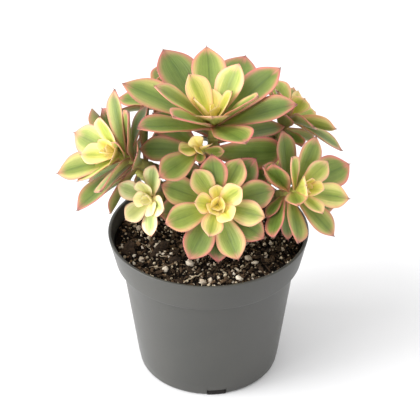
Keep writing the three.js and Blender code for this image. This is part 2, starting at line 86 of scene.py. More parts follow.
def unit(vectors: FloatArray) -> FloatArray:
    """Vectors scaled to length one along the last axis."""
    return vectors / np.linalg.norm(vectors, axis=-1, keepdims=True)


def lerp(low: FloatArray | float, high: FloatArray | float, share: FloatArray | float) -> FloatArray | float:
    """The value that lies a share of the way from low to high."""
    return low + (high - low) * share


def scatter(seed: int, leaf: FloatArray | float, purpose: int) -> FloatArray | float:
    """A repeatable draw for one leaf and one purpose: the fraction of a fast sine.

    Args:
        seed: The rosette's seed.
        leaf: The leaf's number.
        purpose: What the draw is for, so that each use gets its own.

    Returns:
        A value from -0.5 to 0.5.
    """
    by_seed, by_leaf, by_purpose = SCATTER_PACES
    wave = np.sin(seed * by_seed + leaf * by_leaf + purpose * by_purpose) * SCATTER_GAIN
    return wave - np.floor(wave) - 0.5


def swell(x: FloatArray, y: FloatArray, wavelength: float, seed: int, count: int = 14) -> FloatArray:
    """Smooth random relief over a plane: a sum of cosine waves in random directions.

    Args:
        x: First coordinate of each point.
        y: Second coordinate of each point.
        wavelength: The middle wavelength, in the unit of the coordinates.
        seed: Seed of the directions, lengths and phases.
        count: How many waves are summed.

    Returns:
        Heights with a spread of about one.
    """
    rng = np.random.default_rng(seed)
    angle = rng.uniform(0, 2 * np.pi, count)
    pace = 2 * np.pi / (wavelength * rng.uniform(*WAVE_SPREAD, count))
    phase = rng.uniform(0, 2 * np.pi, count)
    travel = x[..., None] * np.cos(angle) + y[..., None] * np.sin(angle)
    return np.cos(travel * pace + phase).sum(axis=-1) * math.sqrt(2 / count)


@dataclass
class Surface:
    """Points and faces of part of a mesh in millimetres, and the values that its finish reads there."""

    points: FloatArray
    quads: IntArray
    triangles: IntArray
    values: dict[str, FloatArray] = field(default_factory=dict)
    coat: int = 0
    smooth: bool = True

    def turned_outward(self) -> "Surface":
        """Flips the faces if the sum of their corners' triple products, six times the volume, is negative.

        Returns:
            The surface itself.
        """
        split = np.concatenate([self.quads[:, [0, 1, 2]], self.quads[:, [0, 2, 3]], self.triangles])
        first, second, third = (self.points[split[:, corner]] for corner in range(3))
        if np.einsum("ij,ij->", first, np.cross(second, third)) < 0:
            self.quads = self.quads[:, ::-1]
            self.triangles = self.triangles[:, ::-1]
        return self


def tube_faces(count: int, rings: int, sides: int) -> tuple[IntArray, IntArray]:
    """Faces of closed tubes whose points are a foot pole, rings of points, and a top pole.

    Args:
        count: How many tubes there are.
        rings: Rings in each tube.
        sides: Points in each ring.

    Returns:
        Quads between neighbouring rings, and triangles round both poles.
    """
    size = rings * sides + 2
    ring, side = np.meshgrid(np.arange(rings - 1), np.arange(sides), indexing="ij")
    low = 1 + ring * sides + side
    low_next = 1 + ring * sides + (side + 1) % sides
    quads = np.stack([low, low_next, low_next + sides, low + sides], axis=-1).reshape(-1, 4)
    here = np.arange(sides)
    following = (here + 1) % sides
    last = size - 1 - sides
    foot = np.stack([np.zeros_like(here), 1 + following, 1 + here], axis=-1)
    top = np.stack([np.full_like(here, size - 1), last + here, last + following], axis=-1)
    starts = np.arange(count)[:, None, None] * size
    triangles = np.concatenate([foot, top])
    return (quads + starts).reshape(-1, 4), (triangles + starts).reshape(-1, 3)


def closed_tubes(rings: FloatArray, foot: FloatArray, top: FloatArray,
                 values: dict[str, FloatArray] | None = None, coat: int = 0) -> Surface:
    """Closed surfaces from rings of points, each closed by a pole at both ends.

    Args:
        rings: Points, shaped (tubes, rings, sides, 3).
        foot: The pole under each tube's first ring, shaped (tubes, 3).
        top: The pole over each tube's last ring.
        values: Named values at the ring points, shaped (tubes, rings, sides).
        coat: Index of the finish.

    Returns:
        The surface, with its faces outward.
    """
    count, steps, sides, _ = rings.shape
    points = np.concatenate([foot[:, None], rings.reshape(count, -1, 3), top[:, None]], axis=1)
    told = {}
    for name, grid in (values or {}).items():
        full = np.broadcast_to(grid, (count, steps, sides))
        ends = [full[:, ring].mean(axis=1)[:, None] for ring in (0, -1)]
        told[name] = np.concatenate([ends[0], full.reshape(count, -1), ends[1]], axis=1).ravel()
    quads, triangles = tube_faces(count, steps, sides)
    return Surface(points.reshape(-1, 3), quads, triangles, told, coat).turned_outward()


def tubes(paths: FloatArray, radii: FloatArray, values: dict[str, FloatArray] | None = None,
          coat: int = 0) -> Surface:
    """Closed tubes: a circle of points carried along each path, square to it.

    Args:
        paths: Centre points, shaped (tubes, steps, 3).
        radii: Distance from the path, shaped (tubes, steps, sides).
        values: Named values at the ring points.
        coat: Index of the finish.

    Returns:
        The surface of all the tubes.
    """
    tangent = unit(np.gradient(paths, axis=1))
    lean = np.abs(tangent.mean(axis=1))
    reference = np.eye(3)[np.argmin(lean, axis=-1)][:, None, :]
    first = unit(np.cross(tangent, reference))
    second = np.cross(tangent, first)
    angle = np.linspace(0, 2 * np.pi, radii.shape[-1], endpoint=False)
    around = first[:, :, None] * np.cos(angle)[:, None] + second[:, :, None] * np.sin(angle)[:, None]
    rings = paths[:, :, None] + around * radii[..., None]
    return closed_tubes(rings, paths[:, 0], paths[:, -1], values, coat)


def smooth_course(points: FloatArray, shares: FloatArray) -> FloatArray:
    """Points on a smooth curve through given ones, the same centripetal spline that the solids follow.

    Args:
        points: The points that the curve passes.
        shares: Places along it from 0 to 1, in equal parts for each stretch.

    Returns:
        A point for each share.
    """
    padded = np.vstack([2 * points[0] - points[1], points, 2 * points[-1] - points[-2]])
    place = shares * (len(points) - 1)
    cell = np.minimum(np.floor(place), len(points) - 2).astype(int)
    weight = (place - cell)[:, None]
    before, start, end, after = (padded[cell + step] for step in range(4))
    first, middle, last = (np.linalg.norm(far - near, axis=-1, keepdims=True) ** 0.5
                           for near, far in ((before, start), (start, end), (end, after)))
    leave = (start - before) / first - (end - before) / (first + middle) + (end - start) / middle
    arrive = (end - start) / middle - (after - start) / (middle + last) + (after - end) / last
    leave, arrive = leave * middle, arrive * middle
    square = 3 * (end - start) - 2 * leave - arrive
    cube = 2 * (start - end) + leave + arrive
    return start + leave * weight + square * weight**2 + cube * weight**3


def make_piece(name: str, surfaces: list[Surface], coats: list[bpy.types.Material]) -> bpy.types.Object:
    """Joins surfaces into one mesh object at the origin, in metres.

    Args:
        name: The piece's name.
        surfaces: Its surfaces, each with the index of its finish.
        coats: The finishes.

    Returns:
        The new object, linked to the scene.
    """
    offsets = np.cumsum([0] + [len(part.points) for part in surfaces[:-1]])
    points = np.concatenate([part.points for part in surfaces]) * MM
    quads = np.concatenate([part.quads + offset for part, offset in zip(surfaces, offsets)])
    triangles = np.concatenate([part.triangles + offset for part, offset in zip(surfaces, offsets)])
    corners = np.concatenate([quads.ravel(), triangles.ravel()])
    starts = np.concatenate([np.arange(len(quads)) * 4, len(quads) * 4 + np.arange(len(triangles)) * 3])
    coat = np.concatenate([np.full(len(part.quads), part.coat) for part in surfaces]
                          + [np.full(len(part.triangles), part.coat) for part in surfaces])
    smooth = np.concatenate([np.full(len(part.quads), part.smooth) for part in surfaces]
                            + [np.full(len(part.triangles), part.smooth) for part in surfaces])
    mesh = bpy.data.meshes.new(name)
    mesh.vertices.add(len(points))
    mesh.vertices.foreach_set("co", points.ravel().astype(np.float32))
    mesh.loops.add(len(corners))
    mesh.loops.foreach_set("vertex_index", corners.astype(np.int32))
    mesh.polygons.add(len(starts))
    mesh.polygons.foreach_set("loop_start", starts.astype(np.int32))
    mesh.polygons.foreach_set("material_index", coat.astype(np.int32))
    mesh.polygons.foreach_set("use_smooth", smooth)
    mesh.update(calc_edges=True)
    for value in sorted({value for part in surfaces for value in part.values}):
        told = np.concatenate([part.values.get(value, np.zeros(len(part.points))) for part in surfaces])
        layer = mesh.attributes.new(value, "FLOAT", "POINT")
        layer.data.foreach_set("value", told.astype(np.float32))
    mesh.validate()
    for material in coats:
        mesh.materials.append(material)
    piece = bpy.data.objects.new(name, mesh)
    bpy.context.scene.collection.objects.link(piece)
    return piece


def seat(piece: bpy.types.Object, slot: str, *nodes: str) -> None:
    """Puts a finished piece on the plant's one body, and reports it.

    Args:
        piece: The piece.
        slot: The name of the material slot that it stands for, which is only reported.
        nodes: The solids that it stands for.
    """
    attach(piece, BODY)
    if nodes:
        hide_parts(*nodes)
    LOG.info("%s: %d faces, slot %s", piece.name, len(piece.data.polygons), slot)


def paint(red: int, green: int, blue: int) -> Colour:
    """A display colour as the linear colour that shaders take.

    Args:
        red: Red from 0 to 255.
        green: Green from 0 to 255.
        blue: Blue from 0 to 255.

    Returns:
        Linear red, green and blue from 0 to 1, and full cover.
    """
    shares = np.array([red, green, blue]) / 255
    curved = ((shares + DISPLAY_OFFSET) / (1 + DISPLAY_OFFSET)) ** DISPLAY_POWER
    linear = np.where(shares <= DISPLAY_KNEE, shares / DISPLAY_SLOPE, curved)
    return float(linear[0]), float(linear[1]), float(linear[2]), 1.0


def stops(*rows: tuple[float, int, int, int]) -> Stops:
    """Colour stops of a ramp, each row a place from 0 to 1 and a display colour."""
    return tuple((place, paint(red, green, blue)) for place, red, green, blue in rows)


class Graph:
    """A material's node tree round one shader, with short calls for the nodes that finishes use."""

    def __init__(self, name: str, roughness: float) -> None:
        """Starts a material with the shader and its output.

        Args:
            name: The material's name.
            roughness: The shader's roughness.
        """
        self.material = bpy.data.materials.new(name)
        self.material.use_nodes = True
        self.tree = self.material.node_tree
        self.tree.nodes.clear()
        self.shader = self.tree.nodes.new("ShaderNodeBsdfPrincipled")
        self.shader.inputs["Roughness"].default_value = roughness
        output = self.tree.nodes.new("ShaderNodeOutputMaterial")
        self.tree.links.new(self.shader.outputs["BSDF"], output.inputs["Surface"])

    def feed(self, socket: Socket, source: Feed) -> None:
        """Links a socket to another one, or sets its value.

        Args:
            socket: The socket that is fed.
            source: The socket or the value that feeds it.
        """
        if isinstance(source, bpy.types.NodeSocket):
            self.tree.links.new(source, socket)
        else:
            socket.default_value = source

    def math(self, operation: str, *sources: Feed) -> Socket:
        """A Math node.

        Args:
            operation: What it does.
            sources: The one to three values that it works on.

        Returns:
            Its result.
        """
        node = self.tree.nodes.new("ShaderNodeMath")
        node.operation = operation
        for socket, source in zip(node.inputs, sources):
            self.feed(socket, source)
        return node.outputs[0]

    def times(self, value: Feed, factor: Feed) -> Socket:
        """A value times a factor."""
        return self.math("MULTIPLY", value, factor)

    def scaled(self, value: Feed, factor: Feed, shift: Feed) -> Socket:
        """A value times a factor, plus a shift."""
        return self.math("MULTIPLY_ADD", value, factor, shift)

    def less(self, value: Feed, amount: Feed) -> Socket:
        """A value less an amount."""
        return self.math("SUBTRACT", value, amount)

    def step(self, value: Feed, low: Feed, high: Feed, to_low: Feed = 0.0, to_high: Feed = 1.0) -> Socket:
        """A smooth step between two values.

        Args:
            value: What is read.
            low: Where the step starts.
            high: Where it ends.
            to_low: The result under the start.
            to_high: The result over the end.

        Returns:
            The step's result.
        """
        node = self.tree.nodes.new("ShaderNodeMapRange")
        node.interpolation_type = "SMOOTHSTEP"
        for name, source in zip(("Value", "From Min", "From Max", "To Min", "To Max"),
                                (value, low, high, to_low, to_high)):
            self.feed(node.inputs[name], source)
        return node.outputs["Result"]

    def fade(self, value: Feed, low: Feed, high: Feed, start: Feed = 1.0) -> Socket:
        """A smooth step down to zero, from a start that is one unless it is given."""
        return self.step(value, low, high, start, 0.0)

    def mix(self, share: Feed, low: Feed, high: Feed, kind: str = "MIX") -> Socket:
        """A colour between two others, or one worked on by the other.

        Args:
            share: How much of the second one counts.
            low: The first colour.
            high: The second colour.
            kind: How they are put together.

        Returns:
            The colour.
        """
        node = self.tree.nodes.new("ShaderNodeMix")
        node.data_type = "RGBA"
        node.blend_type = kind
        for name, source in (("Factor_Float", share), ("A_Color", low), ("B_Color", high)):
            self.feed(next(socket for socket in node.inputs if socket.identifier == name), source)
        return next(socket for socket in node.outputs if socket.identifier == "Result_Color")

    def ramp(self, value: Feed, colours: Stops) -> Socket:
        """A colour read from stops.

        Args:
            value: The place that is read, from 0 to 1.
            colours: The stops.

        Returns:
            The colour at that place.
        """
        node = self.tree.nodes.new("ShaderNodeValToRGB")
        elements = node.color_ramp.elements
        for _ in colours[2:]:
            elements.new(0.5)
        for element, (place, colour) in zip(elements, colours):
            element.position = place
            element.color = colour
        self.feed(node.inputs["Fac"], value)
        return node.outputs["Color"]

    def value(self, name: str) -> Socket:
        """A value that the mesh holds at each point.

        Args:
            name: The value's name.

        Returns:
            The value.
        """
        node = self.tree.nodes.new("ShaderNodeAttribute")
        node.attribute_name = name
        return node.outputs["Fac"]

    def place(self) -> Socket:
        """The point on the object, in metres."""
        return self.tree.nodes.new("ShaderNodeTexCoord").outputs["Object"]

    def vector(self, *sources: Feed) -> Socket:
        """Three values as one vector.

        Args:
            sources: The values.

        Returns:
            The vector.
        """
        node = self.tree.nodes.new("ShaderNodeCombineXYZ")
        for socket, source in zip(node.inputs, sources):
            self.feed(socket, source)
        return node.outputs[0]

    def noise(self, vector: Feed, scale: float, detail: float = 4.0, roughness: float = 0.65) -> Socket:
        """Smooth noise.

        Args:
            vector: Where it is read.
            scale: Its pace.
            detail: How many finer layers it has.
            roughness: How much each finer layer counts.

        Returns:
            A value from 0 to 1.
        """
        node = self.tree.nodes.new("ShaderNodeTexNoise")
        self.feed(node.inputs["Vector"], vector)
        node.inputs["Scale"].default_value = scale
        node.inputs["Detail"].default_value = detail
        node.inputs["Roughness"].default_value = roughness
        return node.outputs["Fac"]

    def bump(self, height: Feed, distance: float, strength: float = 1.0) -> None:
        """Lets a height tilt the surface's shading.

        Args:
            height: The height, from 0 to 1.
            distance: How far a height of 1 stands out, in metres.
            strength: How much of the tilt counts.
        """
        node = self.tree.nodes.new("ShaderNodeBump")
        node.inputs["Distance"].default_value = distance
        node.inputs["Strength"].default_value = strength
        self.feed(node.inputs["Height"], height)
        self.tree.links.new(node.outputs["Normal"], self.shader.inputs["Normal"])

    def finish(self, colour: Feed, roughness: Feed | None = None) -> bpy.types.Material:
        """Feeds the shader.

        Args:
            colour: Its colour.
            roughness: Its roughness, where that varies.

        Returns:
            The material.
        """
        self.feed(self.shader.inputs["Base Color"], colour)
        if roughness is not None:
            self.feed(self.shader.inputs["Roughness"], roughness)
        return self.material


@dataclass(frozen=True)
class LeafFinish:
    """A variegated leaf: a green stripe, a cream zone, a salmon band and a pink rim, all changing with age.

    Two numbers are where something starts and ends along the leaf or across it, as shares of its length or
    half-width, and in millimetres from its edge for the line and the flush. For the widths of the stripe, the
    band and the rim, the base's share and the light they are the value at 0 and what age or a noise adds. The
    shares of the vein and of the rim are those at both ends of their span.
    """

    name: str = "variegated_leaf"
    stripe: Stops = stops((0.0, 242, 226, 120), (0.25, 218, 208, 90), (0.45, 182, 192, 84),
                          (0.7, 152, 167, 72), (1.0, 116, 134, 60))
    zone: Stops = stops((0.0, 252, 234, 152), (0.25, 250, 226, 140), (0.5, 240, 222, 148),
                        (0.75, 214, 208, 124), (1.0, 162, 166, 90))
    band: Stops = stops((0.0, 255, 234, 166), (0.35, 254, 222, 160), (0.6, 246, 202, 152),
                        (0.85, 224, 174, 134), (1.0, 186, 144, 108))
    rim: Stops = stops((0.0, 255, 224, 168), (0.25, 252, 202, 162), (0.5, 246, 180, 150),
                       (0.75, 234, 146, 130), (1.0, 204, 106, 108))
    base: Stops = stops((0.0, 240, 224, 98), (0.5, 214, 210, 72), (1.0, 156, 170, 54))
    core: Colour = paint(76, 106, 28)
    vein: Colour = paint(66, 88, 36)
    line: Colour = paint(186, 76, 88)
    tip: Colour = paint(104, 88, 70)
    flush: Colour = paint(206, 126, 108)
    underside: Colour = paint(176, 168, 112)
    roughness: float = 0.42
    roughness_swing: float = 0.2

    # Paces of the noises across the leaf, along it and from leaf to leaf, then their detail and roughness
    streaks: tuple[float, ...] = (5.0, 1.2, 37.0, 3.0, 0.6)
    fine_streaks: tuple[float, ...] = (17.0, 2.2, 19.0, 3.0, 0.65)
    sways: tuple[float, ...] = (1.3, 3.1, 53.0, 1.0, 0.5)
    own_pace: float = 7.31

    # The stripe's half-width, the power of age that widens it, and how each leaf and its streaks vary it
    stripe_width: Span = (0.02, 0.56)
    stripe_power: float = 0.8
    stripe_variety: float = 0.4
    stripe_drift: float = 0.8
    stripe_softness: Span = (0.34, 0.36)

    # The bright base, the dark core of the stripe and the vein down the middle
    base_span: Span = (0.05, 0.55)
    base_share: Span = (0.9, -0.5)
    core_foot: float = -0.1
    core_span: Span = (0.3, 0.68)
    core_share: float = 0.55
    vein_width: Span = (0.01, 0.09)
    vein_span: Span = (0.3, 0.7)
    vein_share: Span = (0.08, 0.34)

    # The salmon band: where it starts, its width, its strength, and how streaks and sways ruffle it
    band_start: float = -1.6
    band_width: Span = (5.2, -2.4)
    band_share: float = 0.8
    band_streak: float = 5.5
    band_sway: float = 5.0

    # The pink rim in the same way, stronger towards the point, and the fine red line on the very edge
    rim_start: float = -1.0
    rim_width: Span = (1.4, 2.6)
    rim_span: Span = (0.3, 0.95)
    rim_share: Span = (0.38, 0.74)
    rim_variety: float = 0.35
    rim_sway: float = 1.4
    rim_streak: float = 3.4
    line_span: Span = (0.1, 0.8)
    line_share: float = 0.38
    line_power: float = 2.0
    tip_span: Span = (0.95, 1.0)
    tip_share: float = 0.7

    # Blotches, the painted light and shade that they and the leaf's tone give, and the flush of red near the
    # edge
    blotch_pace: float = 120.0
    blotch_light: Span = (0.76, 0.6)
    fine_light: float = 0.45
    tone_light: Span = (0.88, 0.28)
    flush_span: Span = (0.5, 0.72)
    flush_edge: Span = (0.6, 5.0)
    flush_share: float = 0.35
    under_share: float = 0.35

    # Relief of the streaks, and the light that goes through the leaf
    streak_relief: float = 0.7
    relief: float = 0.0004
    relief_strength: float = 0.7
    glow: float = 0.15
    glow_radius: Triple = (0.9, 1.0, 0.3)
    glow_reach: float = 0.0012

    @staticmethod
    def lengthwise(graph: Graph, leaf: dict[str, Socket], texture: tuple[float, ...]) -> Socket:
        """Noise that is stretched along the leaf and differs from leaf to leaf.

        Args:
            graph: The material's nodes.
            leaf: What is known at a point of it.
            texture: The noise's paces across the leaf, along it and from leaf to leaf, detail and roughness.

        Returns:
            A value from -0.5 to 0.5.
        """
        lane = [graph.times(leaf[name], pace) for name, pace in zip(("across", "along", "tone"), texture)]
        return graph.less(graph.noise(graph.vector(*lane), 1.0, *texture[3:]), 0.5)

    def known(self, graph: Graph) -> dict[str, Socket]:
        """What the finish knows at a point: the mesh's values, the leaf's own draw, and lengthwise noises.

        Args:
            graph: The material's nodes.

        Returns:
            Sockets by name.
        """
        leaf = {name: graph.value(name) for name in ("across", "along", "age", "tone", "edge", "under")}
        leaf["away"] = graph.math("ABSOLUTE", leaf["across"])
        leaf["own"] = graph.math("FRACT", graph.times(leaf["tone"], self.own_pace))
        leaf["streak"] = self.lengthwise(graph, leaf, self.streaks)
        leaf["fine"] = self.lengthwise(graph, leaf, self.fine_streaks)
        leaf["sway"] = self.lengthwise(graph, leaf, self.sways)
        return leaf

    def flesh(self, graph: Graph, leaf: dict[str, Socket]) -> Socket:
        """The colour inside the margin: the stripe over the zone, then the base, the core and the vein.

        Args:
            graph: The material's nodes.
            leaf: What is known at a point of it.

        Returns:
            The colour.
        """
        age, along = leaf["age"], leaf["along"]
        drift = graph.scaled(leaf["streak"], self.stripe_drift, leaf["away"])
        start, gain = self.stripe_width
        grown = graph.scaled(graph.math("POWER", age, self.stripe_power), gain, start)
        reach = graph.scaled(leaf["own"], self.stripe_variety, grown)
        inner, outer = self.stripe_softness
        stripe = graph.fade(drift, graph.less(reach, inner), graph.math("ADD", reach, outer))
        colour = graph.mix(stripe, graph.ramp(age, self.zone), graph.ramp(age, self.stripe))
        share, change = self.base_share
        base = graph.times(graph.fade(along, *self.base_span), graph.scaled(age, change, share))
        colour = graph.mix(base, colour, graph.ramp(age, self.base))
        core = graph.times(graph.fade(drift, self.core_foot, reach),
                           graph.step(along, *self.core_span, 0.0, self.core_share))
        colour = graph.mix(graph.times(core, age), colour, self.core)
        vein = graph.times(graph.fade(leaf["away"], *self.vein_width),
                           graph.step(along, *self.vein_span, *self.vein_share))
        return graph.mix(graph.times(vein, age), colour, self.vein)

    def margin(self, graph: Graph, leaf: dict[str, Socket], colour: Socket) -> Socket:
        """The margin's colours over the flesh: the band, the rim, the line on the edge and the dark tip.

        Args:
            graph: The material's nodes.
            leaf: What is known at a point of it.
            colour: The flesh's colour.

        Returns:
            The colour.
        """
        age, along, edge = leaf["age"], leaf["along"], leaf["edge"]
        swayed = graph.scaled(leaf["sway"], self.band_sway, edge)
        ragged = graph.scaled(leaf["streak"], self.band_streak, swayed)
        width, change = self.band_width
        broad = graph.scaled(age, change, width)
        band = graph.times(graph.fade(ragged, self.band_start, broad), self.band_share)
        colour = graph.mix(band, colour, graph.ramp(age, self.band))
        ripe = graph.step(along, *self.rim_span, *self.rim_share)
        blush = graph.scaled(leaf["own"], self.rim_variety, ripe)
        worn = graph.scaled(leaf["sway"], self.rim_sway, blush)
        uneven = graph.scaled(leaf["streak"], self.rim_streak, edge)
        width, change = self.rim_width
        thin = graph.scaled(age, change, width)
        rim = graph.times(graph.fade(uneven, self.rim_start, thin), worn)
        colour = graph.mix(rim, colour, graph.ramp(age, self.rim))
        line = graph.times(graph.fade(edge, *self.line_span, self.line_share),
                           graph.math("POWER", age, self.line_power))
        colour = graph.mix(line, colour, self.line)
        tip = graph.times(graph.step(along, *self.tip_span, 0.0, self.tip_share), age)
        return graph.mix(tip, colour, self.tip)

    def painted_light_and_flush(self, graph: Graph, leaf: dict[str, Socket], blotch: Socket, colour: Socket) -> Socket:
        """Painted light and shade, the red flush near the edge, and the duller underside.

        Args:
            graph: The material's nodes.
            leaf: What is known at a point of it.
            blotch: The blotches' noise.
            colour: The colour of flesh and margin.

        Returns:
            The colour.
        """
        # Painted light and shade: blotches, streaks and the leaf's tone scale the colour's brightness
        low, gain = self.blotch_light
        light = graph.scaled(leaf["fine"], self.fine_light, graph.scaled(blotch, gain, low))
        low, gain = self.tone_light
        light = graph.times(light, graph.scaled(leaf["tone"], gain, low))
        colour = graph.mix(1.0, colour, graph.vector(light, light, light), "MULTIPLY")
        flush = graph.times(graph.step(blotch, *self.flush_span),
                            graph.fade(leaf["edge"], *self.flush_edge, self.flush_share))
        colour = graph.mix(graph.times(flush, leaf["age"]), colour, self.flush)
        under = graph.times(leaf["under"], graph.times(leaf["age"], self.under_share))
        return graph.mix(under, colour, self.underside)

    def make(self) -> bpy.types.Material:
        """Dresses the leaf: flesh, margin, then painted light and shade with the flush and the underside, in
        that order, with streaks in the relief.

        Returns:
            The material.
        """
        graph = Graph(self.name, self.roughness)
        leaf = self.known(graph)
        blotch = graph.noise(graph.place(), self.blotch_pace)
        colour = self.margin(graph, leaf, self.flesh(graph, leaf))
        colour = self.painted_light_and_flush(graph, leaf, blotch, colour)
        rough = graph.scaled(blotch, self.roughness_swing, self.roughness - self.roughness_swing / 2)
        height = graph.math("ADD", graph.times(leaf["streak"], self.streak_relief), leaf["fine"])
        graph.bump(height, self.relief, self.relief_strength)
        graph.shader.inputs["Subsurface Weight"].default_value = self.glow
        graph.shader.inputs["Subsurface Radius"].default_value = self.glow_radius
        graph.shader.inputs["Subsurface Scale"].default_value = self.glow_reach
        return graph.finish(colour, rough)


PALE_LEAF = LeafFinish(
    name="pale_leaf",
    stripe=stops((0.0, 244, 236, 166), (0.25, 226, 222, 136), (0.45, 190, 202, 122), (0.7, 160, 180, 104),
                 (1.0, 126, 150, 82)),
    zone=stops((0.0, 255, 248, 196), (0.25, 250, 242, 186), (0.5, 240, 234, 178), (0.75, 220, 220, 156),
               (1.0, 180, 188, 118)),
    band=stops((0.0, 255, 246, 196), (0.35, 252, 238, 188), (0.6, 246, 224, 178), (0.85, 234, 202, 160),
               (1.0, 206, 174, 136)),
    base=stops((0.0, 244, 236, 150), (0.5, 218, 220, 120), (1.0, 170, 188, 90)),
)


@dataclass(frozen=True)
class PlainFinish:
    """A rough finish of two colours mottled by noise, its pace over a metre and its relief in metres.

    Where grains have a tone of their own, the power of it named toned shifts them between the two colours.
    """

    name: str
    dark: Colour
    light: Colour
    roughness: float
    scale: float
    relief: float
    toned: float = 0.0
    sheen: float = 0.5

    MOTTLE_SPAN = (0.32, 0.68)
    TONE_SHARE = 0.7
    MOTTLE_SHARE = 0.3

    def make(self) -> bpy.types.Material:
        """Blends the two colours by noise, and by the grain's own tone where it has one.

        Returns:
            The material.
        """
        graph = Graph(self.name, self.roughness)
        graph.shader.inputs["Specular IOR Level"].default_value = self.sheen
        mottle = graph.noise(graph.place(), self.scale)
        share = graph.step(mottle, *self.MOTTLE_SPAN)
        if self.toned:
            tone = graph.math("POWER", graph.value("tone"), self.toned)
            share = graph.scaled(share, self.MOTTLE_SHARE, graph.times(tone, self.TONE_SHARE))
        graph.bump(mottle, self.relief)
        return graph.finish(graph.mix(share, self.dark, self.light))


@dataclass(frozen=True)
class PotFinish:
    """Dark grey moulded plastic with thin clouds of dust and fine grain.

    The clouds and the grain are each a noise's pace, detail and roughness.
    """

    grey: Colour = paint(65, 65, 62)
    dusty: Colour = paint(77, 76, 71)
    roughness: float = 0.36
    dusty_roughness: float = 0.1
    clouds: Triple = (22.0, 4.0, 0.6)
    cloud_span: Span = (0.35, 0.75)
    cloud_share: float = 0.5
    grain: Triple = (2400.0, 2.0, 0.5)
    grain_relief: float = 0.00006
    grain_strength: float = 0.5

    def make(self) -> bpy.types.Material:
        """Lays broad faint clouds of dust over the grey, with fine grain in the relief.

        Returns:
            The material.
        """
        graph = Graph("grey_plastic", self.roughness)
        place = graph.place()
        cloud = graph.step(graph.noise(place, *self.clouds), *self.cloud_span)
        graph.bump(graph.noise(place, *self.grain), self.grain_relief, self.grain_strength)
        rough = graph.scaled(cloud, self.dusty_roughness, self.roughness)
        return graph.finish(graph.mix(graph.times(cloud, self.cloud_share), self.grey, self.dusty), rough)


@dataclass(frozen=True)
class StemFinish:
    """Grey-brown bark, greener where a stalk is young, with darker leaf scars."""

    bark: Colour = paint(128, 112, 84)
    scar: Colour = paint(78, 66, 50)
    fresh: Colour = paint(196, 196, 98)
    roughness: float = 0.75
    mottle_pace: float = 420.0
    mottle_span: Span = (0.5, 0.75)
    mottle_share: float = 0.7
    relief: float = 0.0006

    def make(self) -> bpy.types.Material:
        """Darkens the bark by noise and the mesh's scar value, and greens it by its fresh value.

        Returns:
            The material.
        """
        graph = Graph("stem_bark", self.roughness)
        mottle = graph.noise(graph.place(), self.mottle_pace)
        dark = graph.math("MAXIMUM", graph.value("scar"),
                          graph.step(mottle, *self.mottle_span, 0.0, self.mottle_share))
        flesh = graph.mix(graph.value("fresh"), self.bark, self.fresh)
        graph.bump(mottle, self.relief)
        return graph.finish(graph.mix(dark, flesh, self.scar))


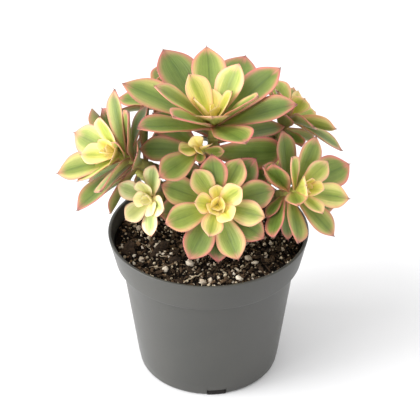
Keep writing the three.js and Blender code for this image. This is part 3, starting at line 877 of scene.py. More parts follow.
@dataclass
class Pot:
    """The nursery pot: a thin tapered wall with a flared skirt, and a foot ring cut by drain notches."""

    height: float = 94.0
    rim_radius: float = 60.0
    skirt_height: float = 18.6
    skirt_foot_radius: float = 55.9
    body_top_radius: float = 52.4
    foot_radius: float = 43.0
    wall: float = 1.5
    lip_width: float = 1.9
    floor_height: float = 3.8
    floor_thickness: float = 1.6
    ring_width: float = 5.5
    ring_margin: float = 1.2
    pad_radius: float = 10.0
    pad_slope: float = 1.5
    axis_radius: float = 0.6
    notches: int = 3
    notch_width: float = 12.0
    notch_angle: float = -83.4
    brink: float = 0.04
    drains: int = 6
    drain_radius: float = 3.5
    drain_circle: float = 24.0
    drill_span: Span = (-4.0, 12.0)
    drill_sides: int = 24
    sharp_angle: float = 38.0
    columns: int = 216

    @property
    def skirt_foot(self) -> float:
        """The height at which the skirt starts."""
        return self.height - self.skirt_height

    @property
    def floor_top(self) -> float:
        """The height of the floor's upper face."""
        return self.floor_height + self.floor_thickness

    @property
    def notch_centres(self) -> FloatArray:
        """The angle in degrees of each notch's middle."""
        return self.notch_angle + 360 / self.notches * np.arange(self.notches)

    @property
    def notch_half_angle(self) -> float:
        """Half the angle in degrees that a notch takes of the foot."""
        return math.degrees(math.asin(self.notch_width / 2 / self.foot_radius))

    def wall_radius(self, height: float) -> float:
        """The outside radius: one straight taper for the body and a wider one for the skirt.

        Args:
            height: The height over the table.

        Returns:
            The radius at that height.
        """
        if height >= self.skirt_foot:
            share = (height - self.skirt_foot) / self.skirt_height
            return lerp(self.skirt_foot_radius, self.rim_radius, share)
        return lerp(self.foot_radius, self.body_top_radius, height / self.skirt_foot)

    def profile(self) -> FloatArray:
        """The outline turned round the axis: out under the foot, up the outside and down the inside.

        Returns:
            Radius and height pairs, with the corners rounded.
        """
        ring_inner = self.foot_radius - self.ring_width
        under_skirt = self.skirt_foot - 0.6
        over_skirt = self.skirt_foot + 2
        # Each row is a corner's radius, its height, and how far from it the bend starts
        corners = np.array([
            (self.axis_radius, 0.0, 0.0),
            (self.pad_radius, 0.0, 0.5),
            (self.pad_radius + self.pad_slope, self.floor_height, 0.5),
            (ring_inner - 1, self.floor_height, 0.4),
            (ring_inner, 0.0, 0.4),
            (self.foot_radius - 0.4, 0.0, 2.2),
            (self.wall_radius(8.0), 8.0, 1.0),
            (self.body_top_radius, under_skirt, 0.3),
            (self.skirt_foot_radius - 0.4, under_skirt, 0.5),
            (self.skirt_foot_radius, self.skirt_foot, 0.3),
            (self.rim_radius, self.height, 0.7),
            (self.rim_radius - self.lip_width, self.height, 0.6),
            (self.wall_radius(over_skirt) - self.wall, over_skirt, 1.0),
            (self.body_top_radius - self.wall, self.skirt_foot - 1, 1.0),
            (self.wall_radius(self.floor_top) - self.wall, self.floor_top, 0.8),
            (self.axis_radius, self.floor_top, 0.0),
        ])
        return self.rounded(corners)

    @staticmethod
    def rounded(corners: FloatArray, steps: int = 5) -> FloatArray:
        """A line through corners, each bent over its own distance as a parabola between the two edges.

        Args:
            corners: Radius, height and bending distance of each corner.
            steps: Points on each bend.

        Returns:
            Radius and height pairs.
        """
        line = [corners[0, :2]]
        share = np.linspace(0, 1, steps)[:, None]
        for before, corner, after in zip(corners[:-2], corners[1:-1], corners[2:]):
            back, ahead = before[:2] - corner[:2], after[:2] - corner[:2]
            cut = min(corner[2], 0.45 * np.linalg.norm(back), 0.45 * np.linalg.norm(ahead))
            start = corner[:2] + cut * back / np.linalg.norm(back)
            end = corner[:2] + cut * ahead / np.linalg.norm(ahead)
            line.extend((1 - share) ** 2 * start + 2 * share * (1 - share) * corner[:2] + share**2 * end)
        line.append(corners[-1, :2])
        return np.array(line)

    def shell(self) -> Surface:
        """The lathe: the profile at every angle, its low points lifted to the floor's height in the notches.

        Returns:
            The pot's surface, without its drain holes.
        """
        profile = self.profile()
        half, centres = self.notch_half_angle, self.notch_centres
        plain = np.arange(self.columns) * 360 / self.columns
        sides = np.array([-half - self.brink, -half + self.brink, half - self.brink, half + self.brink])
        angle = np.sort(np.concatenate([plain, (centres[:, None] + sides).ravel() % 360]))
        away = np.abs((angle[:, None] - centres + 180) % 360 - 180).min(axis=1)
        radius = np.broadcast_to(profile[:, :1], (len(profile), len(angle)))
        height = np.broadcast_to(profile[:, 1:], (len(profile), len(angle)))
        ring = radius > self.foot_radius - self.ring_width - self.ring_margin
        height = np.where(ring & (away < half), np.maximum(height, self.floor_height), height)
        turn = np.radians(angle)
        rings = np.stack([radius * np.cos(turn), radius * np.sin(turn), height], axis=-1)[None]
        foot = np.array([[0.0, 0.0, profile[0, 1]]])
        top = np.array([[0.0, 0.0, profile[-1, 1]]])
        return closed_tubes(rings, foot, top)

    def drills(self) -> Surface:
        """Upright rods where the drain holes are, midway between the notches and their neighbours.

        Returns:
            The rods' surface.
        """
        turn = np.radians(self.notch_angle + 360 / self.drains * (np.arange(self.drains) + 0.5))
        centre = self.drain_circle * np.stack([np.cos(turn), np.sin(turn)], axis=-1)
        levels = np.linspace(*self.drill_span, 3)
        paths = np.stack([np.column_stack([np.full(3, x), np.full(3, y), levels]) for x, y in centre])
        return tubes(paths, np.full((self.drains, len(levels), self.drill_sides), self.drain_radius))

    def build(self) -> None:
        """Makes the pot, bores its drain holes and seats it."""
        pot = make_piece("nursery_pot", [self.shell()], [PotFinish().make()])
        drills = make_piece("drills", [self.drills()], [])
        cut = pot.modifiers.new("drain_holes", "BOOLEAN")
        cut.operation = "DIFFERENCE"
        cut.object = drills
        bpy.context.view_layer.update()
        solid = bpy.data.meshes.new_from_object(pot.evaluated_get(bpy.context.evaluated_depsgraph_get()))
        pot.modifiers.clear()
        pot.data = solid
        bpy.data.objects.remove(drills)
        solid.set_sharp_from_angle(angle=math.radians(self.sharp_angle))
        seat(pot, "pot", "pot")


POT = Pot()


@dataclass(frozen=True)
class Grains:
    """A kind of rough grain on the soil: how many, how far from the pot's wall, and how large and rough.

    Attributes:
        lift: How far a grain's middle lies over the bed, as a share of its upright half size.
        ragged: Spread of the push that roughens it.
        detail: Subdivisions of its ball.
        middle: Logarithm of the middle half size, which has a spread.
        shape: Least and greatest share of the half size that an axis takes.
        largest: Greatest half size before the axes take their shares.
        longest: Greatest half size along an axis.
        flatness: Share of the upright half size that is left.
        ranges: For chips, the range of each axis instead of all that.
        large: Places and half sizes of single grains, with their headings in degrees where they have one.
    """

    name: str
    finish: PlainFinish
    count: int
    margin: float
    lift: float
    ragged: float
    detail: int
    smooth: bool
    middle: float = 0.0
    spread: float = 0.0
    shape: Span = (1.0, 1.0)
    largest: float = math.inf
    longest: float = math.inf
    flatness: float = 1.0
    ranges: tuple[Span, ...] = ()
    large: tuple[tuple[float, ...], ...] = ()

    def half_sizes(self, rng: np.random.Generator, count: int) -> FloatArray:
        """Half sizes: a lognormal size times a share for each axis, or a draw from each axis' range.

        Args:
            rng: The draw.
            count: How many grains.

        Returns:
            Half sizes, shaped (grains, 3), the last one upright.
        """
        if self.ranges:
            return np.column_stack([rng.uniform(low, high, count) for low, high in self.ranges])
        size = np.minimum(rng.lognormal(self.middle, self.spread, (count, 1)), self.largest)
        sizes = size * rng.uniform(*self.shape, (count, 3)) * np.array([1, 1, self.flatness])
        return np.minimum(sizes, self.longest)


PEAT = PlainFinish("peat", dark=paint(9, 7, 6), light=paint(34, 27, 22), roughness=0.95, scale=1100.0,
                   relief=0.0012, sheen=0.08)
# Soil in the notches: dark soil that also stands for painted shade inside the slots
NOTCH_SHADE_SOIL = PlainFinish("notch_shade_soil", dark=paint(8, 7, 6), light=paint(26, 20, 16), roughness=0.9,
                        scale=1100.0, relief=0.0004)
STRAW = PlainFinish("straw", dark=paint(126, 104, 78), light=paint(212, 196, 166), roughness=0.7, scale=300.0,
                    relief=0.0002, toned=1.0)
CRUMBS = Grains(
    "peat_crumbs",
    PlainFinish("crumb", dark=paint(15, 12, 10), light=paint(136, 109, 82), roughness=0.95, scale=1100.0,
                relief=0.0005, toned=5.0, sheen=0.15),
    count=3400, margin=1.0, lift=0.35, ragged=0.2, detail=1, smooth=False,
    middle=-0.5, spread=0.45, shape=(0.65, 1.35), longest=2.2, flatness=0.8,
)
BARK_CHIPS = Grains(
    "bark_chips",
    PlainFinish("bark", dark=paint(28, 21, 17), light=paint(112, 88, 66), roughness=0.85, scale=700.0,
                relief=0.0008, toned=2.2, sheen=0.2),
    count=120, margin=3.4, lift=0.8, ragged=0.14, detail=2, smooth=False,
    ranges=((1.2, 3.4), (0.6, 1.3), (0.35, 0.8)),
    large=((-28.7, -12.5, 8.2, 2.9, 1.6, 52.0), (-47.5, -11.5, 4.6, 3.8, 1.4, 20.0),
           (43.0, 9.0, 5.2, 3.4, 1.5, 35.0), (-19.5, -24.0, 3.8, 2.4, 1.3, 15.0)),
)
GRIT = Grains(
    "pale_grit",
    PlainFinish("grit", dark=paint(92, 74, 54), light=paint(232, 214, 182), roughness=0.9, scale=1100.0,
                relief=0.0004, toned=0.9),
    count=820, margin=1.6, lift=0.75, ragged=0.15, detail=1, smooth=True,
    middle=-0.72, spread=0.38, shape=(0.65, 1.4), longest=1.2,
)
PERLITE = Grains(
    "perlite_grains",
    PlainFinish("perlite", dark=paint(146, 120, 90), light=paint(246, 234, 214), roughness=0.9, scale=700.0,
                relief=0.0006, toned=0.8),
    count=120, margin=2.4, lift=0.5, ragged=0.14, detail=2, smooth=True,
    middle=-0.12, spread=0.32, shape=(0.65, 1.3), largest=1.7,
    large=((-10.6, -26.4, 2.7, 2.2, 2.0), (-30.6, -7.6, 2.2, 1.9, 1.7), (-3.2, -45.0, 1.9, 1.8, 1.7),
           (-25.0, -31.4, 1.9, 1.7, 1.3), (-22.5, -18.4, 1.9, 1.2, 1.1), (23.3, -21.3, 2.0, 1.7, 1.4),
           (27.2, -25.4, 2.0, 1.4, 1.2), (36.5, -12.4, 2.2, 1.3, 1.2), (43.6, -12.2, 1.9, 1.3, 1.1),
           (-44.6, 12.4, 1.7, 1.2, 1.1), (30.0, -33.0, 1.4, 1.2, 1.0), (14.0, -34.0, 1.4, 1.2, 1.0)),
)


@dataclass
class Soil:
    """The soil bed, the soil in the notches that also serves as painted shade there, and what lies loose on the
    bed.
    """

    level: float = 85.5
    columns: int = 180
    top_rings: int = 64
    bore: float = 8.0
    lip_gap: float = 0.1
    middle_gap: float = 0.8
    trunk_x: float = 0.0
    trunk_y: float = 12.0
    trunk_radius: float = 8.0
    trunk_margin: float = 0.6
    seed: int = 11
    # Painted light: how much lighter the loose grains' tone grows towards the left side
    painted_left_light: float = 0.2
    lump_tilt: float = 0.3
    fibres: int = 14
    fibre_steps: int = 9
    fibre_sides: int = 5
    fibre_margin: float = 9.0
    fibre_gap: float = 1.0
    fibre_lengths: Span = (5.0, 17.0)
    fibre_radii: Span = (0.16, 0.42)
    fibre_curl: float = 0.5
    fibre_rise: float = 1.0
    fibre_sag: float = 3.2
    large_fibres: tuple[tuple[float, ...], ...] = ((-9.0, -39.7, 15.0, 35.6),)
    large_fibre_radius: float = 0.42
    large_fibre_tone: float = 0.7
    plug_circle: float = 40.9
    plug_gap: float = 0.04
    plug_inset: float = 0.3
    plug_steps: int = 9
    plug_sides: int = 16

    @property
    def lip_radius(self) -> float:
        """The radius of the pot's lip at the bed's level."""
        return POT.wall_radius(self.level) - POT.lip_width

    def height(self, x: FloatArray, y: FloatArray) -> FloatArray:
        """The bed's height: the solids' swell and lumps as products of sines, and finer random relief.

        Args:
            x: First coordinate of each point.
            y: Second coordinate of each point.

        Returns:
            The height at each point.
        """
        broad = 0.9 * np.sin(x / 8.3 + 0.7) * np.cos(y / 7.1 - 0.4)
        lumps = 0.5 * np.sin(x / 3.1 + y / 4.7 + 1.9) * np.sin(y / 3.7 - x / 6.1)
        coarse, fine = swell(x, y, 3.4, self.seed), swell(x, y, 1.5, self.seed + 1)
        return self.level + broad + lumps + 0.38 * coarse + 0.16 * fine

    def bed(self) -> Surface:
        """The bed: rings up the inside of the pot, then inward over the top.

        Returns:
            The bed's surface.
        """
        floor = POT.floor_top + CLEARANCE
        over_skirt = POT.wall_radius(POT.skirt_foot + 2)
        # Each row is the radius and the height of a ring under the top
        sides = [(self.bore, floor),
                 (POT.wall_radius(floor) - POT.wall - 2 * CLEARANCE, floor),
                 (POT.body_top_radius - POT.wall - 2 * CLEARANCE, POT.skirt_foot - 1.6),
                 (over_skirt - POT.lip_width - CLEARANCE, POT.skirt_foot + 2.6)]
        turn = np.linspace(0, 2 * np.pi, self.columns, endpoint=False)
        across_top = np.linspace(self.lip_radius - self.lip_gap, self.middle_gap, self.top_rings)
        radius = np.concatenate([[side for side, _ in sides], across_top])[:, None]
        x, y = radius * np.cos(turn), radius * np.sin(turn)
        level = self.height(x, y)
        for ring, (_, height) in enumerate(sides):
            level[ring] = height
        rings = np.stack([x, y, level], axis=-1)[None]
        foot = np.array([[0.0, 0.0, floor]])
        top = np.array([[0.0, 0.0, float(level[-1].mean())]])
        return closed_tubes(rings, foot, top)

    def strewn(self, rng: np.random.Generator, count: int, margin: float) -> tuple[FloatArray, FloatArray]:
        """Random places on the bed, inside the rim by a margin and clear of the trunk.

        Args:
            rng: The draw.
            count: How many places are wanted.
            margin: How far they stay from the pot's wall.

        Returns:
            The x and y of each place.
        """
        reach = (self.lip_radius - margin) * np.sqrt(rng.uniform(0, 1, 2 * count))
        turn = rng.uniform(0, 2 * np.pi, 2 * count)
        x, y = reach * np.cos(turn), reach * np.sin(turn)
        clear = np.hypot(x - self.trunk_x, y - self.trunk_y) > self.trunk_radius + self.trunk_margin * margin
        return x[clear][:count], y[clear][:count]

    def lumps(self, rng: np.random.Generator, kind: Grains, x: FloatArray, y: FloatArray, radii: FloatArray,
              headings: FloatArray) -> Surface:
        """Small rough bodies: a unit ball's points pushed in and out at random, stretched and turned.

        Args:
            rng: The draw.
            kind: The kind of grain.
            x: First coordinate of each body.
            y: Second coordinate of each body.
            radii: Half sizes of each body, shaped (bodies, 3), the last one upright.
            headings: The headings in degrees of the last bodies, where they aren't left to the draw.

        Returns:
            All the bodies, each with one tone, raised a little towards the left side as painted light.
        """
        ball = bmesh.new()
        bmesh.ops.create_icosphere(ball, subdivisions=kind.detail, radius=1.0)
        points = np.array([vertex.co[:] for vertex in ball.verts])
        faces = np.array([[vertex.index for vertex in face.verts] for face in ball.faces])
        ball.free()
        count = len(x)
        push = 1 + kind.ragged * rng.normal(size=(count, len(points), 1))
        shaped = points * push * radii[:, None, :]
        yaw = rng.uniform(0, 2 * np.pi, count)
        yaw[count - len(headings):] = np.radians(headings)
        tilt = rng.normal(0, self.lump_tilt, (2, count))
        cosine, sine = np.cos(yaw)[:, None], np.sin(yaw)[:, None]
        flat_x = shaped[..., 0] * cosine - shaped[..., 1] * sine
        flat_y = shaped[..., 0] * sine + shaped[..., 1] * cosine
        upright = shaped[..., 2] + flat_x * tilt[0][:, None] + flat_y * tilt[1][:, None]
        centre = self.height(x, y) + kind.lift * radii[:, 2]
        placed = np.stack([x[:, None] + flat_x, y[:, None] + flat_y, centre[:, None] + upright], axis=-1)
        corners = (faces[None] + (np.arange(count) * len(points))[:, None, None]).reshape(-1, 3)
        # Painted light: grains towards the left get a lighter tone
        tone = np.clip(rng.uniform(0, 1, count) * (1 - self.painted_left_light * x / POT.rim_radius), 0, 1)
        values = {"tone": np.repeat(tone, len(points))}
        bodies = Surface(placed.reshape(-1, 3), np.empty((0, 4), int), corners, values, 0, kind.smooth)
        return bodies.turned_outward()

    def strew(self, rng: np.random.Generator, kind: Grains) -> None:
        """Strews one kind of grain over the bed and seats it as a piece.

        Args:
            rng: The draw.
            kind: The kind of grain.
        """
        x, y = self.strewn(rng, kind.count, kind.margin)
        radii = kind.half_sizes(rng, len(x))
        headings = np.empty(0)
        if kind.large:
            large = np.array(kind.large)
            x, y = np.append(x, large[:, 0]), np.append(y, large[:, 1])
            radii = np.vstack([radii, large[:, 2:5]])
            headings = large[:, 5:].ravel()
        shaped = self.lumps(rng, kind, x, y, radii, headings)
        seat(make_piece(kind.name, [shaped], [kind.finish.make()]), "soil")

    def straw(self, rng: np.random.Generator) -> Surface:
        """Thin fibres: tubes along gently curved lines that lie on the bed, with both ends pressed in.

        Args:
            rng: The draw.

        Returns:
            The fibres, each with one tone.
        """
        x, y = self.strewn(rng, self.fibres, self.fibre_margin)
        count = len(x)
        large_x, large_y, large_length, heading = np.array(self.large_fibres).T
        x, y = np.append(x, large_x)[:, None], np.append(y, large_y)[:, None]
        share = np.linspace(-0.5, 0.5, self.fibre_steps)
        length = np.append(rng.uniform(*self.fibre_lengths, count), large_length)[:, None]
        turn = np.append(rng.uniform(0, 2 * np.pi, count), np.radians(heading))[:, None]
        curl = np.append(rng.normal(0, self.fibre_curl, count), np.zeros_like(heading))[:, None]
        turn = turn + curl * share
        path_x, path_y = x + length * share * np.cos(turn), y + length * share * np.sin(turn)
        pull = np.minimum(1, (self.lip_radius - self.fibre_gap) / np.hypot(path_x, path_y))
        path_x, path_y = path_x * pull, path_y * pull
        rise = self.height(path_x, path_y) + self.fibre_rise - self.fibre_sag * share**2
        full = np.ones((1, self.fibre_steps, self.fibre_sides))
        large_radii = np.full_like(heading, self.large_fibre_radius)
        radii = np.append(rng.uniform(*self.fibre_radii, count), large_radii)[:, None, None] * full
        large_tones = np.full_like(heading, self.large_fibre_tone)
        tone = np.append(rng.uniform(0, 1, count), large_tones)[:, None, None] * full
        return tubes(np.stack([path_x, path_y, rise], axis=-1), radii, {"tone": tone})

    def plugs(self) -> Surface:
        """Soil in the pot's drain notches, dark, and also painted shade for the inside of the slots: a squarish
        bar that follows the foot ring in each.

        Returns:
            The bars.
        """
        half = POT.notch_half_angle - self.plug_inset
        turn = np.radians(POT.notch_centres[:, None] + np.linspace(-half, half, self.plug_steps))
        level = POT.floor_height / 2
        path = np.stack([self.plug_circle * np.cos(turn), self.plug_circle * np.sin(turn),
                         np.full_like(turn, level)], axis=-1)
        angle = np.linspace(0, 2 * np.pi, self.plug_sides, endpoint=False)
        square = (np.cos(angle) ** 6 + np.sin(angle) ** 6) ** (-1 / 6)
        return tubes(path, (level - self.plug_gap) * square * np.ones((POT.notches, self.plug_steps, 1)))

    def build(self) -> None:
        """Makes the bed, the soil in the notches with its painted shade, and everything strewn on the bed."""
        seat(make_piece("soil_bed", [self.bed()], [PEAT.make()]), "soil", "soil")
        seat(make_piece("notch_soil", [self.plugs()], [NOTCH_SHADE_SOIL.make()]), "soil")
        rng = np.random.default_rng(self.seed)
        self.strew(rng, CRUMBS)
        self.strew(rng, BARK_CHIPS)
        seat(make_piece("straw_fibres", [self.straw(rng)], [STRAW.make()]), "soil")
        self.strew(rng, GRIT)
        self.strew(rng, PERLITE)


def outline(s: FloatArray) -> FloatArray:
    """A leaf's half-width along it: narrow at the base, widest at two thirds, drawn in to the point."""
    return 0.2 * (1 - s) ** 3 + 1.976 * s**1.15 * (1 - s**4)


def narrowing(s: FloatArray) -> FloatArray:
    """How far a drawn leaf's last fifth is drawn in from the outline, as a share of its width."""
    return 1 - 0.18 * np.clip(5 * s - 4, 0, 1) ** 1.5


@dataclass
class LeafSet:
    """Leaves as whole arrays, a row for each: where it springs from, its directions, sizes and number.

    Its directions run to the point, to one margin and up through the blade. Its bend is a share of its
    length.
    """

    base: FloatArray
    along: FloatArray
    side: FloatArray
    normal: FloatArray
    length: FloatArray
    half_width: FloatArray
    thickness: FloatArray
    bend: FloatArray
    number: FloatArray

    # How deep the blade is dished, and where the points lie that stand for it
    CUP = 0.34
    PROBE_STEPS = np.array([0.15, 0.25, 0.35, 0.45, 0.55, 0.64, 0.73, 0.82, 0.91, 1.0])
    PROBE_SIDES = np.array([-1.0, -0.5, 0.0, 0.5, 1.0])

    # What counts as meeting: the gap, the shares along and across, the least width and the thickness' share
    GAP = 1.7
    REACH = (0.02, 1.03)
    BREADTH = 1.1
    LEAST_WIDTH = 0.8
    THICK_SHARE = 0.25

    def __len__(self) -> int:
        """How many leaves there are."""
        return len(self.length)

    def lift(self, s: FloatArray, u: FloatArray) -> FloatArray:
        """Height of the middle surface over the chord plane: a bend that grows with s squared, and a dish.

        Args:
            s: Shares along each leaf.
            u: Shares across it, from -1 to 1.

        Returns:
            The heights.
        """
        shape = (-1,) + (1,) * (np.ndim(s) - 1)
        length, half, bend = (each.reshape(shape) for each in (self.length, self.half_width, self.bend))
        dish = self.CUP * half * outline(s) * np.abs(u) ** 1.7 * (1 - 0.5 * s)
        return bend * length * s**2 + dish

    def surface(self, s: FloatArray, u: FloatArray, above: FloatArray | float = 0.0) -> FloatArray:
        """Points s along each leaf and u across it, lifted off its middle surface.

        Args:
            s: Shares along, shaped (leaves or 1, steps, sides).
            u: Shares across, from -1 to 1, of the same shape.
            above: Heights over the middle surface.

        Returns:
            Points, shaped (leaves, steps, sides, 3).
        """
        length, half = self.length[:, None, None], self.half_width[:, None, None]
        forward = (length * s)[..., None] * self.along[:, None, None]
        sideways = (half * outline(s) * u)[..., None] * self.side[:, None, None]
        up = (self.lift(s, u) + above)[..., None] * self.normal[:, None, None]
        return self.base[:, None, None] + forward + sideways + up

    def probes(self) -> FloatArray:
        """The points that stand for each leaf where leaves are hung clear.

        Returns:
            Fifty points, shaped (leaves, 50, 3).
        """
        s = self.PROBE_STEPS[None, :, None] * np.ones((1, 1, len(self.PROBE_SIDES)))
        u = self.PROBE_SIDES[None, None, :] * np.ones((1, len(self.PROBE_STEPS), 1))
        return self.surface(s, u).reshape(len(self), -1, 3)

    def meets(self, points: FloatArray) -> NDArray[np.bool_]:
        """Whether points over each leaf come closer to it than the gap, or lie on both its sides.

        Args:
            points: Points, shaped (leaves or 1, points, 3).

        Returns:
            One truth for each leaf, or for each row of points over one leaf.
        """
        offset = points - self.base[:, None]
        s = np.einsum("npk,nk->np", *self.paired(offset, self.along)) / self.length[:, None]
        near = np.clip(s, 0, 1)
        width = np.maximum(self.half_width[:, None] * outline(near), self.LEAST_WIDTH)
        u = np.einsum("npk,nk->np", *self.paired(offset, self.side)) / width
        height = np.einsum("npk,nk->np", *self.paired(offset, self.normal)) - self.lift(near, u)
        start, end = self.REACH
        over = (s >= start) & (s <= end) & (np.abs(u) <= self.BREADTH)
        gap = self.GAP + self.THICK_SHARE * self.thickness[:, None]
        close = (over & (np.abs(height) < gap)).any(axis=1)
        return close | ((over & (height > 0)).any(axis=1) & (over & (height < 0)).any(axis=1))

    @staticmethod
    def paired(points: FloatArray, directions: FloatArray) -> tuple[FloatArray, FloatArray]:
        """Points and directions brought to the same count of rows."""
        return points, np.broadcast_to(directions, (len(points), 3))

    @staticmethod
    def joined(sets: list["LeafSet"]) -> "LeafSet":
        """Several sets as one."""
        names = ("base", "along", "side", "normal", "length", "half_width", "thickness", "bend", "number")
        return LeafSet(*(np.concatenate([getattr(each, name) for each in sets]) for name in names))


@dataclass(frozen=True)
class Rosette:
    """A head of leaves on a golden-angle spiral. Bends and old leaves are those that grew aside.

    Most numbers of the heads that the photo shows, and of their bends and old leaves, were fitted to marks
    on the photo by least squares and rounded. They weren't chosen by hand.

    Attributes:
        name: The solid that it stands for.
        crown: Where its leaves spring from.
        facing: Heading and elevation of its axis, in degrees.
        start: Where the spiral starts, in degrees.
        hand: 1 or -1, the way that it winds.
        leaves: One more than the leaves on it.
        reach: Length of a grown leaf, and young is the youngest one's share of it.
        ripe: The number of a leaf that is well on in growing.
        steep: Rise of the youngest leaves in degrees, and flat is that of the grown ones.
        drop: How far down the axis leaf number 20 springs.
        stalk: Length of the fleshy stalk.
        width: A leaf's half-width, as a share of its length.
        course: The first points of its branch.
        bends: By number, a leaf's own turn, rise, share of length and roll.
        old: The old leaves' depth on the stalk, turn, rise, share of length and roll.
        pale: How much later than usual its leaves colour, and the field after it is painted shade: how far
            their tone is lowered, which darkens the whole head.
    """

    name: str
    crown: Triple
    facing: Span
    start: float
    hand: int
    leaves: int
    reach: float
    young: float
    ripe: float
    steep: float
    flat: float
    drop: float
    stalk: float
    width: float
    course: tuple[Triple, ...]
    bends: dict[int, tuple[float, ...]] = field(default_factory=dict)
    old: tuple[tuple[float, ...], ...] = ()
    pale: float = 1.0
    # Painted shade: lowers the tone of every leaf, which darkens the whole head
    painted_shade: float = 0.0

    # How sharply leaves ripen in size, and in colour a little later
    RIPENING = 2.5
    COLOURING = 1.9
    COLOUR_DELAY = 1.1

    # Spread of a leaf's turn, rise and roll in degrees, and of its length as a share
    TURN_SCATTER = 5
    RISE_SCATTER = 6
    ROLL_SCATTER = 12
    LENGTH_SCATTER = 0.06

    # Bend of the youngest and the grown leaves, how much wider the youngest are, and a blade's thickness
    BEND = (0.1, -0.08)
    YOUNG_WIDTH = 0.6
    YOUNG_NUMBER = 7.5
    THICKNESS = (0.7, 0.04, 2.3)

    STALK_RADIUS = 3.4
    BRANCH_LEAD = 5.0

    @property
    def axes(self) -> tuple[FloatArray, FloatArray, FloatArray]:
        """The head's own directions.

        Returns:
            Its axis, and two directions across it.
        """
        azimuth, elevation = np.radians(self.facing)
        axis = np.array([np.cos(elevation) * np.cos(azimuth), np.cos(elevation) * np.sin(azimuth),
                         np.sin(elevation)])
        across = np.array([-np.sin(azimuth), np.cos(azimuth), 0.0])
        return axis, across, np.cross(axis, across)

    @property
    def stalk_foot(self) -> FloatArray:
        """Where the fleshy stalk leaves the woody branch."""
        return np.array(self.crown) - self.axes[0] * self.stalk

    @property
    def branch(self) -> FloatArray:
        """The points that the woody branch passes on its way up."""
        ends = [self.stalk_foot - self.axes[0] * lead for lead in (self.BRANCH_LEAD, CLEARANCE)]
        return np.vstack([np.array(self.course, dtype=float), *ends])

    def leaf(self, seed: int, number: int, swing: Triple = (0, 0, 1)) -> LeafSet:
        """One leaf, by its number on the spiral counted from the middle, or after that among the old ones.

        Args:
            seed: The rosette's seed.
            number: The leaf's number.
            swing: Turn and rise in degrees and share of length by which it hangs aside.

        Returns:
            A set of that one leaf.
        """
        axis, across, up = self.axes
        age = 1 - math.exp(-((number / self.ripe) ** self.RIPENING))
        if number < self.leaves:
            turned, raised, grown, rolled = (*self.bends.get(number, (0, 0, 1)), 0)[:4]
            down = self.drop * (number / 20) ** 2
            spiral = self.start + self.hand * GOLDEN_ANGLE * number
            turn = spiral + self.TURN_SCATTER * scatter(seed, number, 1) + turned
            rise = lerp(self.steep, self.flat, age) + self.RISE_SCATTER * scatter(seed, number, 2) + raised
            share = lerp(self.young, 1, age) * (1 + self.LENGTH_SCATTER * scatter(seed, number, 3)) * grown
        else:
            down, turn, rise, share, rolled = (*self.old[number - self.leaves], 0)[:5]
        turn, rise = np.radians(turn + swing[0]), np.radians(rise + swing[1])
        length = self.reach * share * swing[2]
        roll = np.radians(self.ROLL_SCATTER * scatter(seed, number, 4) + rolled)
        outward = across * np.cos(turn) + up * np.sin(turn)
        along = outward * np.cos(rise) + axis * np.sin(rise)
        level = -outward * np.sin(rise) + axis * np.cos(rise)
        side = np.cross(level, along)
        widening = 1 + self.YOUNG_WIDTH * math.exp(-((number / self.YOUNG_NUMBER) ** 3))
        thin, growth, thick = self.THICKNESS
        return LeafSet(
            base=(np.array(self.crown) - axis * down)[None],
            along=along[None],
            side=(side * np.cos(roll) + level * np.sin(roll))[None],
            normal=(level * np.cos(roll) - side * np.sin(roll))[None],
            length=np.array([length]),
            half_width=np.array([length * self.width * widening]),
            thickness=np.array([min(thick, thin + growth * length)]),
            bend=np.array([lerp(*self.BEND, age)]),
            number=np.array([float(number)]),
        )

    def ripeness(self, numbers: FloatArray) -> FloatArray:
        """How far each leaf's colour has come on from bud to old leaf, from 0 to 1."""
        return 1 - np.exp(-((numbers / (self.ripe * self.COLOUR_DELAY * self.pale)) ** self.COLOURING))


